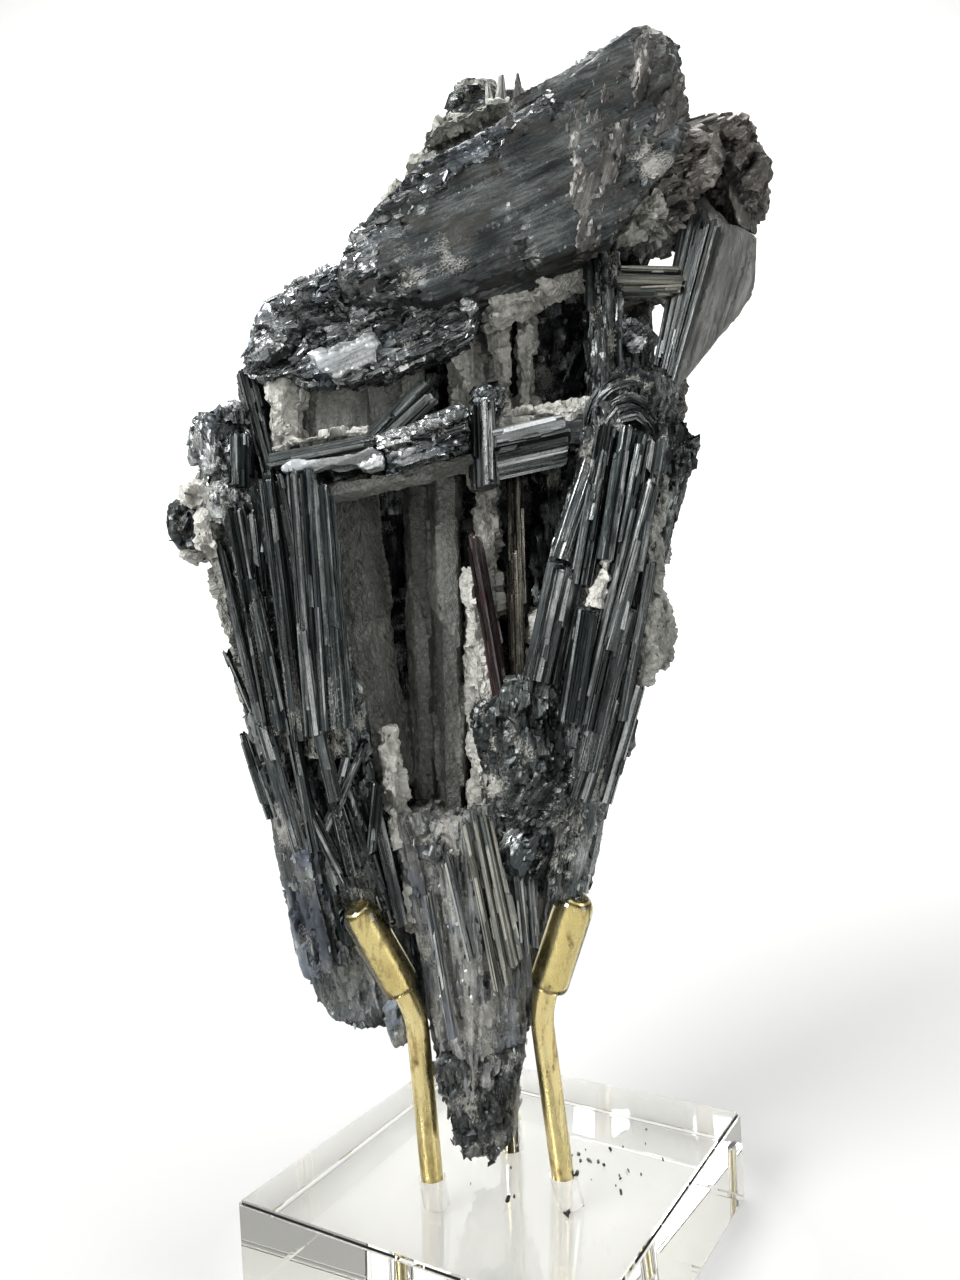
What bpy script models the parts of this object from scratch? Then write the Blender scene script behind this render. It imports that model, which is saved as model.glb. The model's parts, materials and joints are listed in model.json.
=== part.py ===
"""A stibnite specimen held by a three-prong brass stand on a clear acrylic block.

The specimen is one natural piece: dark striated blades, broken blocks and pale drusy laths, grown
together round an open front cavity and tapering to a point at the bottom. Three bent brass rods stand
in blind holes in the block. Each rod ends in a soft clear sleeve, and the sleeves grip the taper.

Sizes below are in millimetres. The origin is the centre of the block's underside, +Z is up, and the
specimen's open front faces -Y.
"""

import math
import random
from collections import namedtuple

import bmesh
import bpy
from mathutils import Matrix, Vector

MM = 0.001
GAP = 0.3

# Stand
BLOCK_SIDE = 50.8
BLOCK_HEIGHT = 12.7
BLOCK_BEVEL = 0.4
BLOCK_TURN = -31.6
ROD_RADIUS = 1.5
ROD_SIDES = 12
ROD_SEAT = 2.0
BEND = 3.0
BEND_STEPS = 4
SLEEVE_RADIUS = 2.55
SLEEVE_LENGTH = 13.5
SLEEVE_CROWN = 1.3
SLEEVE_MOUTH = 0.25

Rod = namedtuple("Rod", "name foot elbow tip")
RODS = (
    Rod("left", (-9.7, -4.9, 12.7), (-10.4, -7.5, 35.5), (-16.6, -11.5, 50.0)),
    Rod("right", (7.6, -6.1, 12.7), (5.7, -8.5, 35.5), (10.6, -12.0, 50.0)),
    Rod("back", (1.0, 10.2, 12.7), (0.8, 11.8, 35.5), (2.2, 18.5, 49.5)),
)

# Specimen. The core is the hidden mass that the crystals grow from, as level sections.
Section = namedtuple("Section", "height left right front back")
CORE = (
    Section(19, -4, 0.5, -6, 0),
    Section(30, -6, 3, -7, 4),
    Section(44, -8, 6, -7, 13),
    Section(54, -13, 8, -6, 16),
    Section(64, -20, 12, 2, 17),
    Section(78, -25, 16, 4, 18),
    Section(98, -27, 19, 5, 19),
    Section(116, -24, 19, 4, 18),
    Section(128, -17, 19, 0, 16),
    Section(140, -8, 30, -5, 12),
    Section(152, 3, 31, -8, 8),
    Section(160, 19, 29, -9, 1),
)
CORE_SIDES = 10
CORE_SQUARENESS = 2.6

# A blade runs from its foot to its head. Its width lies across the front view, its depth away from
# it, and turn (degrees) twists both about its length. Flare is the head's size over the foot's. A
# rough blade is a broken mass: it narrows towards both ends, and its edges waver.
Blade = namedtuple("Blade", "name foot head width depth turn flare rough", defaults=(0, 1.0, 0.0))
Lump = namedtuple("Lump", "name centre radii")
Plate = namedtuple("Plate", "name front thickness outline")

CROWN = (
    Blade("crown_ledge", (-16, -5, 122), (16, -4, 133.5), 8, 13, 0, 1.0, 0.5),
    Blade("crown_low", (-13, -6, 128), (19, -6, 140), 9, 15, 8, 1.0, 0.5),
    Blade("crown_high", (-3, -4, 141.5), (29, -7, 153), 8.5, 14, 10, 1.0, 0.5),
    Blade("crown_rim", (6, -3, 149), (28, -6, 158), 7.5, 11, -8, 0.9, 0.5),
    Blade("crown_back_ledge", (-5.5, 2, 147), (13, 2, 156), 8, 9, 15, 1.0, 0.6),
    Blade("crown_back_root", (-6, 3, 138), (20, 4, 150), 12, 14, 0, 1.0, 0.6),
    Blade("crown_point_left", (6.5, 1, 154), (7, 1, 160.5), 2.2, 2.5, 20, 0.2),
    Blade("crown_point_right", (9, 1, 154), (9.5, 1, 160.5), 2.4, 2.5, 50, 0.2),
    Blade("shoulder_bar", (21, -9, 139), (36, -6, 148), 6, 9, 10, 1.0, 0.4),
    Blade("left_bar_low", (-26, -6, 120.5), (-17, -9, 124.5), 4.5, 8, 20, 1.0, 0.4),
    Blade("left_bar_high", (-21.5, -6, 127), (-13, -9, 132), 4.5, 8, -15, 1.0, 0.4),
)
CROWN_LUMPS = (
    Lump("peak_knob", (27, -5, 157.5), (3.8, 4.5, 4)),
    Lump("peak_side", (26, -3, 150), (6, 7, 6)),
    Lump("back_knob", (3.8, 2, 157), (4, 4, 3.8)),
    Lump("shoulder", (34.5, -3, 146), (6, 6.5, 5)),
    Lump("shoulder_edge", (37.6, -3, 141.5), (4.4, 6, 5)),
    Lump("shoulder_root", (28, -4, 143.5), (6, 7, 5)),
    Lump("pitted_lump", (25.5, -7, 137), (4.8, 5, 4.2)),
    Lump("left_rough", (-22.5, -5, 123.5), (5, 6, 5)),
    Lump("left_rough_high", (-17.5, -6, 128), (5, 6, 4)),
    Lump("under_crown", (-6.5, -7, 125), (5, 6, 4.6)),
)
MIRROR_OUTLINE = ((-19.5, 120), (-17.5, 118), (-12, 119.5), (-10, 122), (-12, 124.5), (-16.5, 122.5))
CROWN_OUTLINE = (
    (-13, 131),
    (-8, 127.5),
    (1, 129),
    (15, 134),
    (20, 140),
    (25, 146),
    (27.5, 153),
    (26, 158.5),
    (20, 157),
    (11, 152),
    (2, 146),
    (-6, 142),
)
CROWN_PLATES = (
    Plate("mirror_facet", -13.5, 8, MIRROR_OUTLINE),
    Plate("crown_face", -16, 12, CROWN_OUTLINE),
)

RIGHT_WING = (
    Blade("wing_ridge", (27.5, -8, 113.5), (33.5, -8, 139), 6, 7, -12, 1.1),
    Blade("pillar", (18, -9, 111), (18.8, -8, 135), 5.5, 8, 10),
    Blade("rung", (18, -4, 127.5), (27, -4, 129.5), 3.5, 4, 10),
    Blade("gap_back", (23, 4, 110), (24, 4, 134), 9, 7, 0, 1.0),
    Blade("cap_column", (21.5, -6, 111), (21.5, -6, 122), 4.5, 6, 30),
)
WING_OUTLINE = ((34, 138), (30, 118), (32, 119.5), (35, 121.5), (38.8, 125.5), (40.6, 131), (40.6, 135))
CAP_OUTLINE = ((20, 114), (23, 101), (28.3, 103), (29.3, 107.5), (26.5, 112.5), (23, 116))
RIGHT_WING_PLATES = (
    Plate("wing_face", -8.5, 7, WING_OUTLINE),
    Plate("cap_facet", -12, 12, CAP_OUTLINE),
)
RIGHT_WING_LUMPS = (
    Lump("cap", (21.5, -10, 112.5), (5.4, 5.5, 4.8)),
    Lump("wing_root", (24.5, -5, 114), (5, 6, 4)),
    Lump("bright_nub", (22, -7, 121), (3, 3.5, 3.2)),
)

RIGHT_BUNDLE = (
    Blade("right_first", (10.5, -11, 90), (16.5, -12, 109.5), 4.5, 7, 15),
    Blade("right_second", (13.5, -12, 82), (19.5, -13, 109), 4.5, 7, -10),
    Blade("right_third", (16, -11, 76), (22.5, -11, 107), 4.5, 8, 15),
    Blade("right_striped", (14, -12, 68), (24, -11, 102), 4, 7, -15),
    Blade("right_dark", (11, -14, 70), (14.5, -14.5, 87), 3.6, 5, 10),
    Blade("right_bright", (7.5, -12, 76), (12, -13, 92), 5.6, 5, -10, 1.1),
    Blade("right_drusy", (14.5, -14, 85), (16.8, -14, 97), 3.6, 4, 5, 0.8),
    Blade("right_edge", (22, -6, 90), (27, -7, 106), 4.5, 9, 10),
    Blade("right_low_inner", (9, -9, 50), (15, -10, 78), 6, 9, 10),
    Blade("right_low_outer", (10, -3, 50), (19, -4, 80), 7, 12, -10),
)
RIGHT_BUNDLE_LUMPS = (
    Lump("right_druse", (22.5, -3, 84), (4, 7, 7.5)),
    Lump("right_waist", (21.5, -2, 95), (5, 8, 7)),
)

LEFT_BUNDLE = (
    Blade("left_needle_blade", (-27, -9, 73), (-31.5, -9, 98), 3, 7, 10),
    Blade("left_wide", (-22.5, -11, 70), (-29, -11, 102.5), 4.4, 7, -12),
    Blade("left_inner", (-20.5, -12, 70), (-25.5, -12, 105), 4.4, 8, 12),
    Blade("left_front", (-16.5, -12, 70), (-21, -13, 105), 4.8, 8, -10),
    Blade("left_sheet", (-28, -4, 70), (-32.5, -5, 96.5), 5, 9, 0),
    Blade("left_top_blade", (-25.5, -8, 106), (-28, -8, 119.5), 2.6, 6, 15),
    Blade("left_knob", (-32.4, -6, 103), (-31.2, -7, 114.5), 7, 9, 15, 0.85, 0.3),
)
LEFT_BUNDLE_LUMPS = (
    Lump("left_ball", (-35.6, -5, 100.3), (3.4, 4.5, 4.2)),
    Lump("left_shelf", (-30.5, -4, 104), (6, 7, 5)),
    Lump("left_waist", (-27, -1, 86), (5, 8, 9)),
)

UPPER_CAVITY = (
    Blade("facet_outer", (-24.5, -6, 104), (-25.3, -6, 120), 5.5, 7),
    Blade("facet_second", (-20.5, -4, 104), (-21.2, -4, 121), 4, 7, 10),
    Blade("facet_third", (-16.5, 0, 104), (-16.5, 0, 122), 8, 8, -8),
    Blade("facet_fourth", (-9, 0, 106), (-8, 0, 123), 7.5, 8, 8),
    Blade("slanted_prism", (-14.5, -9, 110), (-6, -8, 117.5), 3.6, 3.5, 20),
    Blade("lip", (3, -7, 126), (16, -5, 132), 5.5, 7, 10),
    Blade("column_left", (0, 0, 108), (0.5, 0, 127), 5.8, 8),
    Blade("column_middle", (4.6, -2, 110), (5, -2, 127), 3.4, 6, 15),
    Blade("column_right", (8.5, -1, 110), (9, -1, 128), 3, 6, -10),
)

CROSS_BAR = (
    Blade("shelf", (-23, -4, 107), (16, -4, 109.5), 5, 13),
    Blade("bright_bar", (-24, -13.5, 107), (-11, -13.5, 108.8), 2, 6, 5),
    Blade("pale_rung", (-21.5, -10, 109.4), (-12, -10, 110.6), 2, 5),
    Blade("broken_chunk", (-10.5, -12, 107), (0.5, -12, 110), 6.4, 8, 12),
    Blade("upright_stub", (2, -12.5, 102.5), (2.2, -12, 113.5), 2.8, 6, 25),
    Blade("ribbed_prism", (4, -13, 107), (13.2, -13, 109), 5.4, 7, 10),
    Blade("drusy_ledge", (3.5, -6, 111), (17, -6, 112.5), 4, 8),
    Blade("slanted_rung", (-20.5, -10.5, 102.5), (1, -10, 106.5), 2.6, 5),
)
CROSS_BAR_LUMPS = (Lump("stub_knob", (3, -11, 113.5), (2.2, 3, 2.2)),)

CAVITY = (
    Blade("grey_lath_left", (-12.5, 0, 64), (-17, 0, 105), 6.4, 8, -6, 1.1),
    Blade("grey_lath_thin", (-7.2, 2, 62), (-8.5, 2, 106), 3.4, 6, 10),
    Blade("grey_lath_middle", (-4, -1, 54), (-3, -1, 106), 4.8, 8, 5),
    Blade("pale_ridge", (-0.5, -4, 56), (0.4, -4, 93), 4.4, 9, 10),
    Blade("pale_fragment", (-10.5, -7, 56), (-12, -9, 73), 3.2, 5, -10, 0.8),
    Blade("bronze_needle", (5, -8.5, 73), (5.8, -8.5, 105), 2.6, 3, 10),
    Blade("red_needle", (3.2, -9, 74), (0.4, -9.5, 97), 2, 2.4, 20),
    Blade("pale_lath_high", (2, -4, 86), (2, -4, 106), 4.2, 7, 10),
    Blade("corner_lath", (6, -6, 74), (8, -7, 87.5), 2.8, 5, 15),
    Blade("hollow_wall", (10, 0, 70), (12, 0, 110), 7, 9, 10),
)

LOWER = (
    Blade("tan_lath", (0, -8.5, 38), (-2.5, -10, 63), 3, 4, 5),
    Blade("wedge_left", (-3, -6, 20), (-5.8, -8, 60), 6.5, 9, 10, 1.2),
    Blade("wedge_right", (-0.5, -6, 20), (1.5, -8, 58), 6, 8, -12, 1.3),
    Blade("wedge_back", (-1.5, -3, 18), (3, -2, 60), 7, 10, 15, 1.5),
    Blade("back_rest", (0, 6, 30), (2.5, 13.5, 62), 10, 9, 10, 1.2, 0.3),
    Blade("wedge_side", (-3.5, -4, 24), (-9, -5, 62), 5, 9, -20, 1.3),
    Blade("inner_dark_left", (-14, -8, 50), (-18, -10, 66.5), 3.2, 6, 10),
    Blade("inner_dark_right", (-12, -7, 48), (-15.5, -9, 67), 3, 6, -10),
    Blade("pale_inner_lath", (-10, -6, 46), (-12, -7.5, 65), 3, 6, 5),
    Blade("left_low_front", (-17, -6, 46), (-22, -8, 77), 7.5, 10, 10),
    Blade("left_low_outer", (-21, -3, 42), (-27, -5, 77), 8.5, 12, -12),
    Blade("lobe_inner", (-13.8, -1, 30), (-19, -3, 62), 6.5, 9, 15, 1.2, 0.4),
    Blade("lobe_outer", (-20.5, 0, 32.5), (-22, -2, 60), 7.5, 10, -10, 1.0, 0.3),
    Blade("lobe_back", (-16, 3, 32), (-18, 4, 64), 8, 9, 10, 1.3, 0.3),
)
LOWER_LUMPS = (
    Lump("tip_knob", (-2, -5, 20.2), (3.6, 4, 4.6)),
    Lump("broken_high", (4.8, -8, 72), (6.4, 6, 6)),
    Lump("broken_middle", (6.5, -9, 65), (7, 6.5, 7)),
    Lump("broken_low", (5.5, -8, 56.5), (6.2, 6.5, 7)),
    Lump("right_low_bulge", (15.8, -3, 72), (4.6, 6, 6.5)),
    Lump("wedge_crown", (-4.5, -7, 58), (4.6, 5, 4.5)),
    Lump("left_low_root", (-26, -3, 70), (5, 7, 6)),
)

BLADE_GROUPS = (CROWN, RIGHT_WING, RIGHT_BUNDLE, LEFT_BUNDLE, UPPER_CAVITY, CROSS_BAR, CAVITY, LOWER)
LUMP_GROUPS = (
    CROWN_LUMPS,
    RIGHT_WING_LUMPS,
    RIGHT_BUNDLE_LUMPS,
    LEFT_BUNDLE_LUMPS,
    CROSS_BAR_LUMPS,
    LOWER_LUMPS,
)

# Back and sides: rows of blades that fan out from the taper and lean with the crown.
Row = namedtuple("Row", "count first last foot_height head_height sink width depth")
BACK_ROWS = (
    Row(6, 8, 172, 30, 78, 1.0, 9, 7),
    Row(7, 0, 180, 58, 104, 0.5, 10, 7),
    Row(7, 4, 172, 84, 128, 0.5, 10, 7),
    Row(5, 20, 165, 116, 150, 0.5, 10, 6),
)
BACK_SEED = 11

LUMP_SQUARENESS = 0.8
SMALL_LUMP = 6.3
BLADE_SECTION = ((-0.5, -0.12), (-0.3, -0.5), (0.24, -0.5), (0.5, 0.06), (0.28, 0.5), (-0.26, 0.5))

STIBNITE = ((0.10, 0.11, 0.13), 0.35, 0.8)
BRASS = ((0.72, 0.55, 0.22), 0.3, 1.0)
ACRYLIC = ((0.92, 0.94, 0.95), 0.04, 0.0)
VINYL = ((0.80, 0.82, 0.72), 0.12, 0.0)


def clear_scene():
    for obj in list(bpy.data.objects):
        bpy.data.objects.remove(obj)


def material(name, finish):
    colour, roughness, metallic = finish
    made = bpy.data.materials.new(name)
    made.use_nodes = True
    shader = made.node_tree.nodes["Principled BSDF"]
    shader.inputs["Base Color"].default_value = (*colour, 1.0)
    shader.inputs["Roughness"].default_value = roughness
    shader.inputs["Metallic"].default_value = metallic
    return made


def new_object(name, bm):
    """An object from a bmesh in millimetres."""
    bmesh.ops.scale(bm, vec=(MM, MM, MM), verts=bm.verts)
    bmesh.ops.recalc_face_normals(bm, faces=bm.faces)
    mesh = bpy.data.meshes.new(name)
    bm.to_mesh(mesh)
    bm.free()
    obj = bpy.data.objects.new(name, mesh)
    bpy.context.collection.objects.link(obj)
    return obj


def hide_helper(obj):
    obj.hide_render = True
    obj.display_type = "WIRE"


def boolean(obj, other, operation, solver="EXACT"):
    modifier = obj.modifiers.new(operation.title(), "BOOLEAN")
    modifier.operation = operation
    modifier.object = other
    modifier.solver = solver
    modifier.use_self = operation == "UNION"


def apply_modifiers(obj):
    bpy.context.view_layer.update()
    graph = bpy.context.evaluated_depsgraph_get()
    solid = bpy.data.meshes.new_from_object(obj.evaluated_get(graph))
    obj.modifiers.clear()
    obj.data = solid


def bridge_rings(bm, rings):
    """Side faces between rings of vertices, and a flat fan on the first and the last."""
    count = len(rings[0])
    for low, high in zip(rings, rings[1:]):
        for i in range(count):
            j = (i + 1) % count
            bm.faces.new((low[i], low[j], high[j], high[i]))
    bm.faces.new(reversed(rings[0]))
    bm.faces.new(rings[-1])


def axes_of(foot, head, turn):
    """Unit vectors across the width, through the depth and along the length."""
    along = (head - foot).normalized()
    across = Vector((0, 1, 0)).cross(along).normalized()
    spin = Matrix.Rotation(math.radians(turn), 3, along)
    across = spin @ across
    return across, along.cross(across), along


def blade_rings(blade):
    """Stations along a blade: how far along, the size there, and how much its broken end leans."""
    if not blade.rough:
        return ((0, 1.0, 0.0), (1, blade.flare, 1.0))
    return ((0, 0.7, 0.5), (0.18, 1.0, 0.0), (0.8, blade.flare, 0.0), (1, 0.7 * blade.flare, 1.0))


def add_blade(bm, blade, rng):
    """A six-sided prism with uneven flats and a slanted broken head."""
    foot = Vector(blade.foot)
    head = Vector(blade.head)
    across, through, along = axes_of(foot, head, blade.turn)
    waver = 0.04 + 0.12 * blade.rough
    section = [(u + rng.uniform(-0.05, 0.05), v + rng.uniform(-0.05, 0.05)) for u, v in BLADE_SECTION]
    slant = rng.uniform(-0.5, 0.5) * blade.width
    rings = []
    for part, size, lean in blade_rings(blade):
        centre = foot.lerp(head, part)
        ring = []
        for u, v in section:
            u += rng.uniform(-waver, waver)
            v += rng.uniform(-waver, waver)
            point = centre + across * (u * blade.width * size) + through * (v * blade.depth * size)
            point += along * (slant * lean * (u + 0.5 * v))
            ring.append(bm.verts.new(point))
        rings.append(ring)
    bridge_rings(bm, rings)


def add_lump(bm, lump, rng):
    """A squarish broken mass with flat facets, fewer on a small one."""
    fineness = 2 if max(lump.radii) > SMALL_LUMP else 1
    made = bmesh.ops.create_icosphere(bm, subdivisions=fineness, radius=1.0)
    for vert in made["verts"]:
        size = rng.uniform(0.84, 1.12)
        squared = [math.copysign(abs(k) ** LUMP_SQUARENESS, k) for k in vert.co]
        vert.co = Vector(c + r * size * k for c, r, k in zip(lump.centre, lump.radii, squared))


def add_plate(bm, plate, rng):
    """A flat-faced piece with a bevelled front: its outline from the front, extruded away from it."""
    middle = sum((Vector((x, z)) for x, z in plate.outline), Vector((0, 0))) / len(plate.outline)
    rings = []
    for depth, size in ((0, 0.82), (0.25, 1.0), (1, 1.0)):
        ring = []
        for x, z in plate.outline:
            place = middle.lerp(Vector((x, z)), size)
            y = plate.front + depth * plate.thickness + rng.uniform(-0.4, 0.4)
            ring.append(bm.verts.new((place.x, y, place.y)))
        rings.append(ring)
    bridge_rings(bm, rings)


def core_at(height):
    """The core's left, right, front and back at a height."""
    for low, high in zip(CORE, CORE[1:]):
        if height <= high.height:
            part = max(0.0, (height - low.height) / (high.height - low.height))
            return [a + (b - a) * part for a, b in zip(low[1:], high[1:])]
    return list(CORE[-1][1:])


def core_point(height, degrees, sink=0.0):
    """A point on the core, by its angle from +X towards the back, sunk below the surface."""
    left, right, front, back = core_at(height)
    angle = math.radians(degrees)
    power = 2.0 / CORE_SQUARENESS
    c = math.copysign(abs(math.cos(angle)) ** power, math.cos(angle))
    s = math.copysign(abs(math.sin(angle)) ** power, math.sin(angle))
    x = (left + right) / 2 + c * ((right - left) / 2 - sink)
    y = (front + back) / 2 + s * ((back - front) / 2 - sink)
    return Vector((x, y, height))


def add_core(bm, rng):
    rings = []
    for section in CORE:
        ring = []
        for i in range(CORE_SIDES):
            point = core_point(section.height, 360 * i / CORE_SIDES, rng.uniform(-0.6, 0.8))
            ring.append(bm.verts.new(point))
        rings.append(ring)
    bridge_rings(bm, rings)


def back_blades(rng):
    """Blades that cover the back and the sides, row above row."""
    blades = []
    for row in BACK_ROWS:
        step = (row.last - row.first) / (row.count - 1)
        for i in range(row.count):
            angle = row.first + step * i + rng.uniform(-4, 4)
            low = row.foot_height + rng.uniform(-5, 5)
            high = row.head_height + rng.uniform(-9, 9)
            foot = core_point(low, angle, row.sink + 2.5)
            head = core_point(high, angle, row.sink)
            width = row.width * rng.uniform(0.7, 1.2)
            turn = 90 - angle + rng.uniform(-15, 15)
            blades.append(Blade("back", foot, head, width, row.depth, turn, rng.uniform(0.9, 1.15)))
    return blades


def specimen_mesh():
    """Every crystal as its own closed shell, and the core."""
    rng = random.Random(BACK_SEED)
    bm = bmesh.new()
    for group in BLADE_GROUPS:
        for blade in group:
            add_blade(bm, blade, rng)
    for group in LUMP_GROUPS:
        for lump in group:
            add_lump(bm, lump, rng)
    for plate in CROWN_PLATES + RIGHT_WING_PLATES:
        add_plate(bm, plate, rng)
    for blade in back_blades(rng):
        add_blade(bm, blade, rng)
    return bm


def drop_inner_shells(obj):
    """Keeps the outermost shell: small closed voids between the crystals are solid rock."""
    bm = bmesh.new()
    bm.from_mesh(obj.data)
    unseen = set(bm.verts)
    shells = []
    while unseen:
        shell = [unseen.pop()]
        for vert in shell:
            for edge in vert.link_edges:
                other = edge.other_vert(vert)
                if other in unseen:
                    unseen.remove(other)
                    shell.append(other)
        shells.append(shell)
    shells.sort(key=len)
    for shell in shells[:-1]:
        bmesh.ops.delete(bm, geom=shell, context="VERTS")
    bm.to_mesh(obj.data)
    bm.free()


def make_specimen(cutters):
    rng = random.Random(BACK_SEED)
    core = bmesh.new()
    add_core(core, rng)
    specimen = new_object("stibnite_cluster", core)
    crystals = new_object("crystal_shells", specimen_mesh())
    boolean(specimen, crystals, "UNION")
    apply_modifiers(specimen)
    drop_inner_shells(specimen)
    for cutter in cutters:
        boolean(specimen, cutter, "DIFFERENCE", "MANIFOLD")
    apply_modifiers(specimen)
    drop_inner_shells(specimen)
    bpy.data.objects.remove(crystals)
    specimen.data.materials.clear()
    specimen.data.materials.append(material("stibnite", STIBNITE))
    return specimen


def rod_seat(rod):
    """The rod's lower end: its lower leg carried on down into the block."""
    foot = Vector(rod.foot)
    slope = (foot - Vector(rod.elbow)) / (rod.elbow[2] - rod.foot[2])
    return foot + slope * (BLOCK_HEIGHT - ROD_SEAT)


def rod_path(rod):
    """Seat, a rounded elbow, tip."""
    start = rod_seat(rod)
    elbow = Vector(rod.elbow)
    tip = Vector(rod.tip)
    before = elbow + (start - elbow).normalized() * BEND
    after = elbow + (tip - elbow).normalized() * BEND
    path = [start]
    for i in range(BEND_STEPS + 1):
        t = i / BEND_STEPS
        path.append(before * (1 - t) ** 2 + elbow * (2 * t * (1 - t)) + after * t**2)
    return path + [tip]


def tube(name, path, radius):
    """A round bar along a path, with flat ends."""
    curve = bpy.data.curves.new(name, "CURVE")
    curve.dimensions = "3D"
    curve.bevel_depth = radius * MM
    curve.bevel_resolution = (ROD_SIDES - 4) // 2
    curve.use_fill_caps = True
    spline = curve.splines.new("POLY")
    spline.points.add(len(path) - 1)
    for point, place in zip(spline.points, path):
        point.co = (*(place * MM), 1.0)
    spline.use_smooth = True
    obj = bpy.data.objects.new(name, curve)
    bpy.context.collection.objects.link(obj)
    return obj


def tube_mesh(name, path, radius):
    """The same bar as a mesh, to cut with."""
    obj = tube(name, path, radius)
    graph = bpy.context.evaluated_depsgraph_get()
    mesh = bpy.data.meshes.new_from_object(obj.evaluated_get(graph))
    bpy.data.objects.remove(obj)
    bm = bmesh.new()
    bm.from_mesh(mesh)
    bmesh.ops.remove_doubles(bm, verts=bm.verts, dist=1e-6)
    bmesh.ops.recalc_face_normals(bm, faces=bm.faces)
    bm.to_mesh(mesh)
    bm.free()
    made = bpy.data.objects.new(name, mesh)
    bpy.context.collection.objects.link(made)
    hide_helper(made)
    return made


def sleeve_ends(rod):
    """The sleeve's open lower end, and the top of its round crown."""
    tip = Vector(rod.tip)
    up = (tip - Vector(rod.elbow)).normalized()
    top = tip + up * (GAP + SLEEVE_CROWN)
    return top - up * SLEEVE_LENGTH, top


def dome(radius, base, rise, steps=3):
    """Profile points of a round end, from its edge to just short of its pole."""
    angles = [math.pi / 2 * i / steps for i in range(steps)]
    return [(radius * math.cos(a), base + rise * math.sin(a)) for a in angles]


def add_turned(bm, profile):
    """Turns (radius, height) points about Z. The profile starts and ends on the axis."""
    start = bm.verts.new((0, 0, profile[0][1]))
    end = bm.verts.new((0, 0, profile[-1][1]))
    rings = []
    for radius, height in profile[1:-1]:
        turns = [2 * math.pi * i / ROD_SIDES for i in range(ROD_SIDES)]
        rings.append([bm.verts.new((radius * math.cos(a), radius * math.sin(a), height)) for a in turns])
    for i in range(ROD_SIDES):
        j = (i + 1) % ROD_SIDES
        bm.faces.new((start, rings[0][i], rings[0][j]))
        bm.faces.new((end, rings[-1][j], rings[-1][i]))
        for near, far in zip(rings, rings[1:]):
            bm.faces.new((near[i], near[j], far[j], far[i]))


def place_along(obj, low, high):
    obj.location = low * MM
    obj.rotation_mode = "QUATERNION"
    obj.rotation_quaternion = (high - low).to_track_quat("Z", "Y")


def make_sleeve(rod):
    """A clear cap over the rod's end: a round crown, and a bore open at the bottom."""
    low, high = sleeve_ends(rod)
    shoulder = SLEEVE_LENGTH - SLEEVE_RADIUS
    bore_top = SLEEVE_LENGTH - SLEEVE_CROWN
    outer = dome(SLEEVE_RADIUS, shoulder, SLEEVE_RADIUS)[::-1]
    bore = ROD_RADIUS + GAP
    inner = [(SLEEVE_RADIUS - SLEEVE_MOUTH, 0), (bore, 0), (bore, bore_top), (0, bore_top)]
    bm = bmesh.new()
    add_turned(bm, [(0, SLEEVE_LENGTH)] + outer + inner)
    sleeve = new_object("tip_sleeve_" + rod.name, bm)
    place_along(sleeve, low, high)
    sleeve.data.materials.append(material("vinyl_" + rod.name, VINYL))
    sleeve.data.shade_smooth()
    sleeve.data.set_sharp_from_angle(angle=math.radians(40))
    return sleeve


def sleeve_cutter(rod):
    """The sleeve's outside, one gap larger."""
    low, high = sleeve_ends(rod)
    radius = SLEEVE_RADIUS + GAP
    length = SLEEVE_LENGTH + 2 * GAP
    bm = bmesh.new()
    outer = dome(radius, length - radius, radius)[::-1]
    add_turned(bm, [(0, length)] + outer + [(radius, 0), (0, 0)])
    cutter = new_object("sleeve_cutter_" + rod.name, bm)
    up = (high - low).normalized() * GAP
    place_along(cutter, low - up, high + up)
    hide_helper(cutter)
    return cutter


def make_block():
    bm = bmesh.new()
    bmesh.ops.create_cube(bm, size=1.0)
    bmesh.ops.scale(bm, vec=(BLOCK_SIDE, BLOCK_SIDE, BLOCK_HEIGHT), verts=bm.verts)
    bmesh.ops.bevel(bm, geom=bm.edges, offset=BLOCK_BEVEL, segments=1, affect="EDGES")
    block = new_object("acrylic_block", bm)
    block.location = (0, 0, BLOCK_HEIGHT / 2 * MM)
    block.rotation_euler = (0, 0, math.radians(BLOCK_TURN))
    for rod in RODS:
        seat = rod_seat(rod)
        up = (Vector(rod.foot) - seat).normalized()
        path = [seat - up * GAP, Vector(rod.foot) + up * 2]
        boolean(block, tube_mesh("hole_cutter_" + rod.name, path, ROD_RADIUS + GAP), "DIFFERENCE")
    block.data.materials.append(material("acrylic", ACRYLIC))
    return block


def make_rod(rod):
    made = tube("brass_rod_" + rod.name, rod_path(rod), ROD_RADIUS)
    made.data.materials.append(material("brass_" + rod.name, BRASS))
    return made


def main():
    clear_scene()
    make_block()
    cutters = []
    for rod in RODS:
        make_rod(rod)
        make_sleeve(rod)
        cutters.append(sleeve_cutter(rod))
        cutters.append(tube_mesh("rod_cutter_" + rod.name, rod_path(rod), ROD_RADIUS + GAP))
    make_specimen(cutters)


main()
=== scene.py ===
"""The looks of a stibnite specimen on its brass and acrylic stand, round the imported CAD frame.

Shapes are worked out in millimetres and scaled once, when a piece's mesh is made. Rough rock is the
same crystals as the CAD's, fused by a voxel remesh and broken up by cell noise along each crystal's
own axis. Clean crystals are prisms built strip by strip, so their striations are real steps.
"""

import json
import math
import random
from collections import namedtuple

import bmesh
import bpy
import numpy as np
from mathutils import Matrix, Vector

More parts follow.
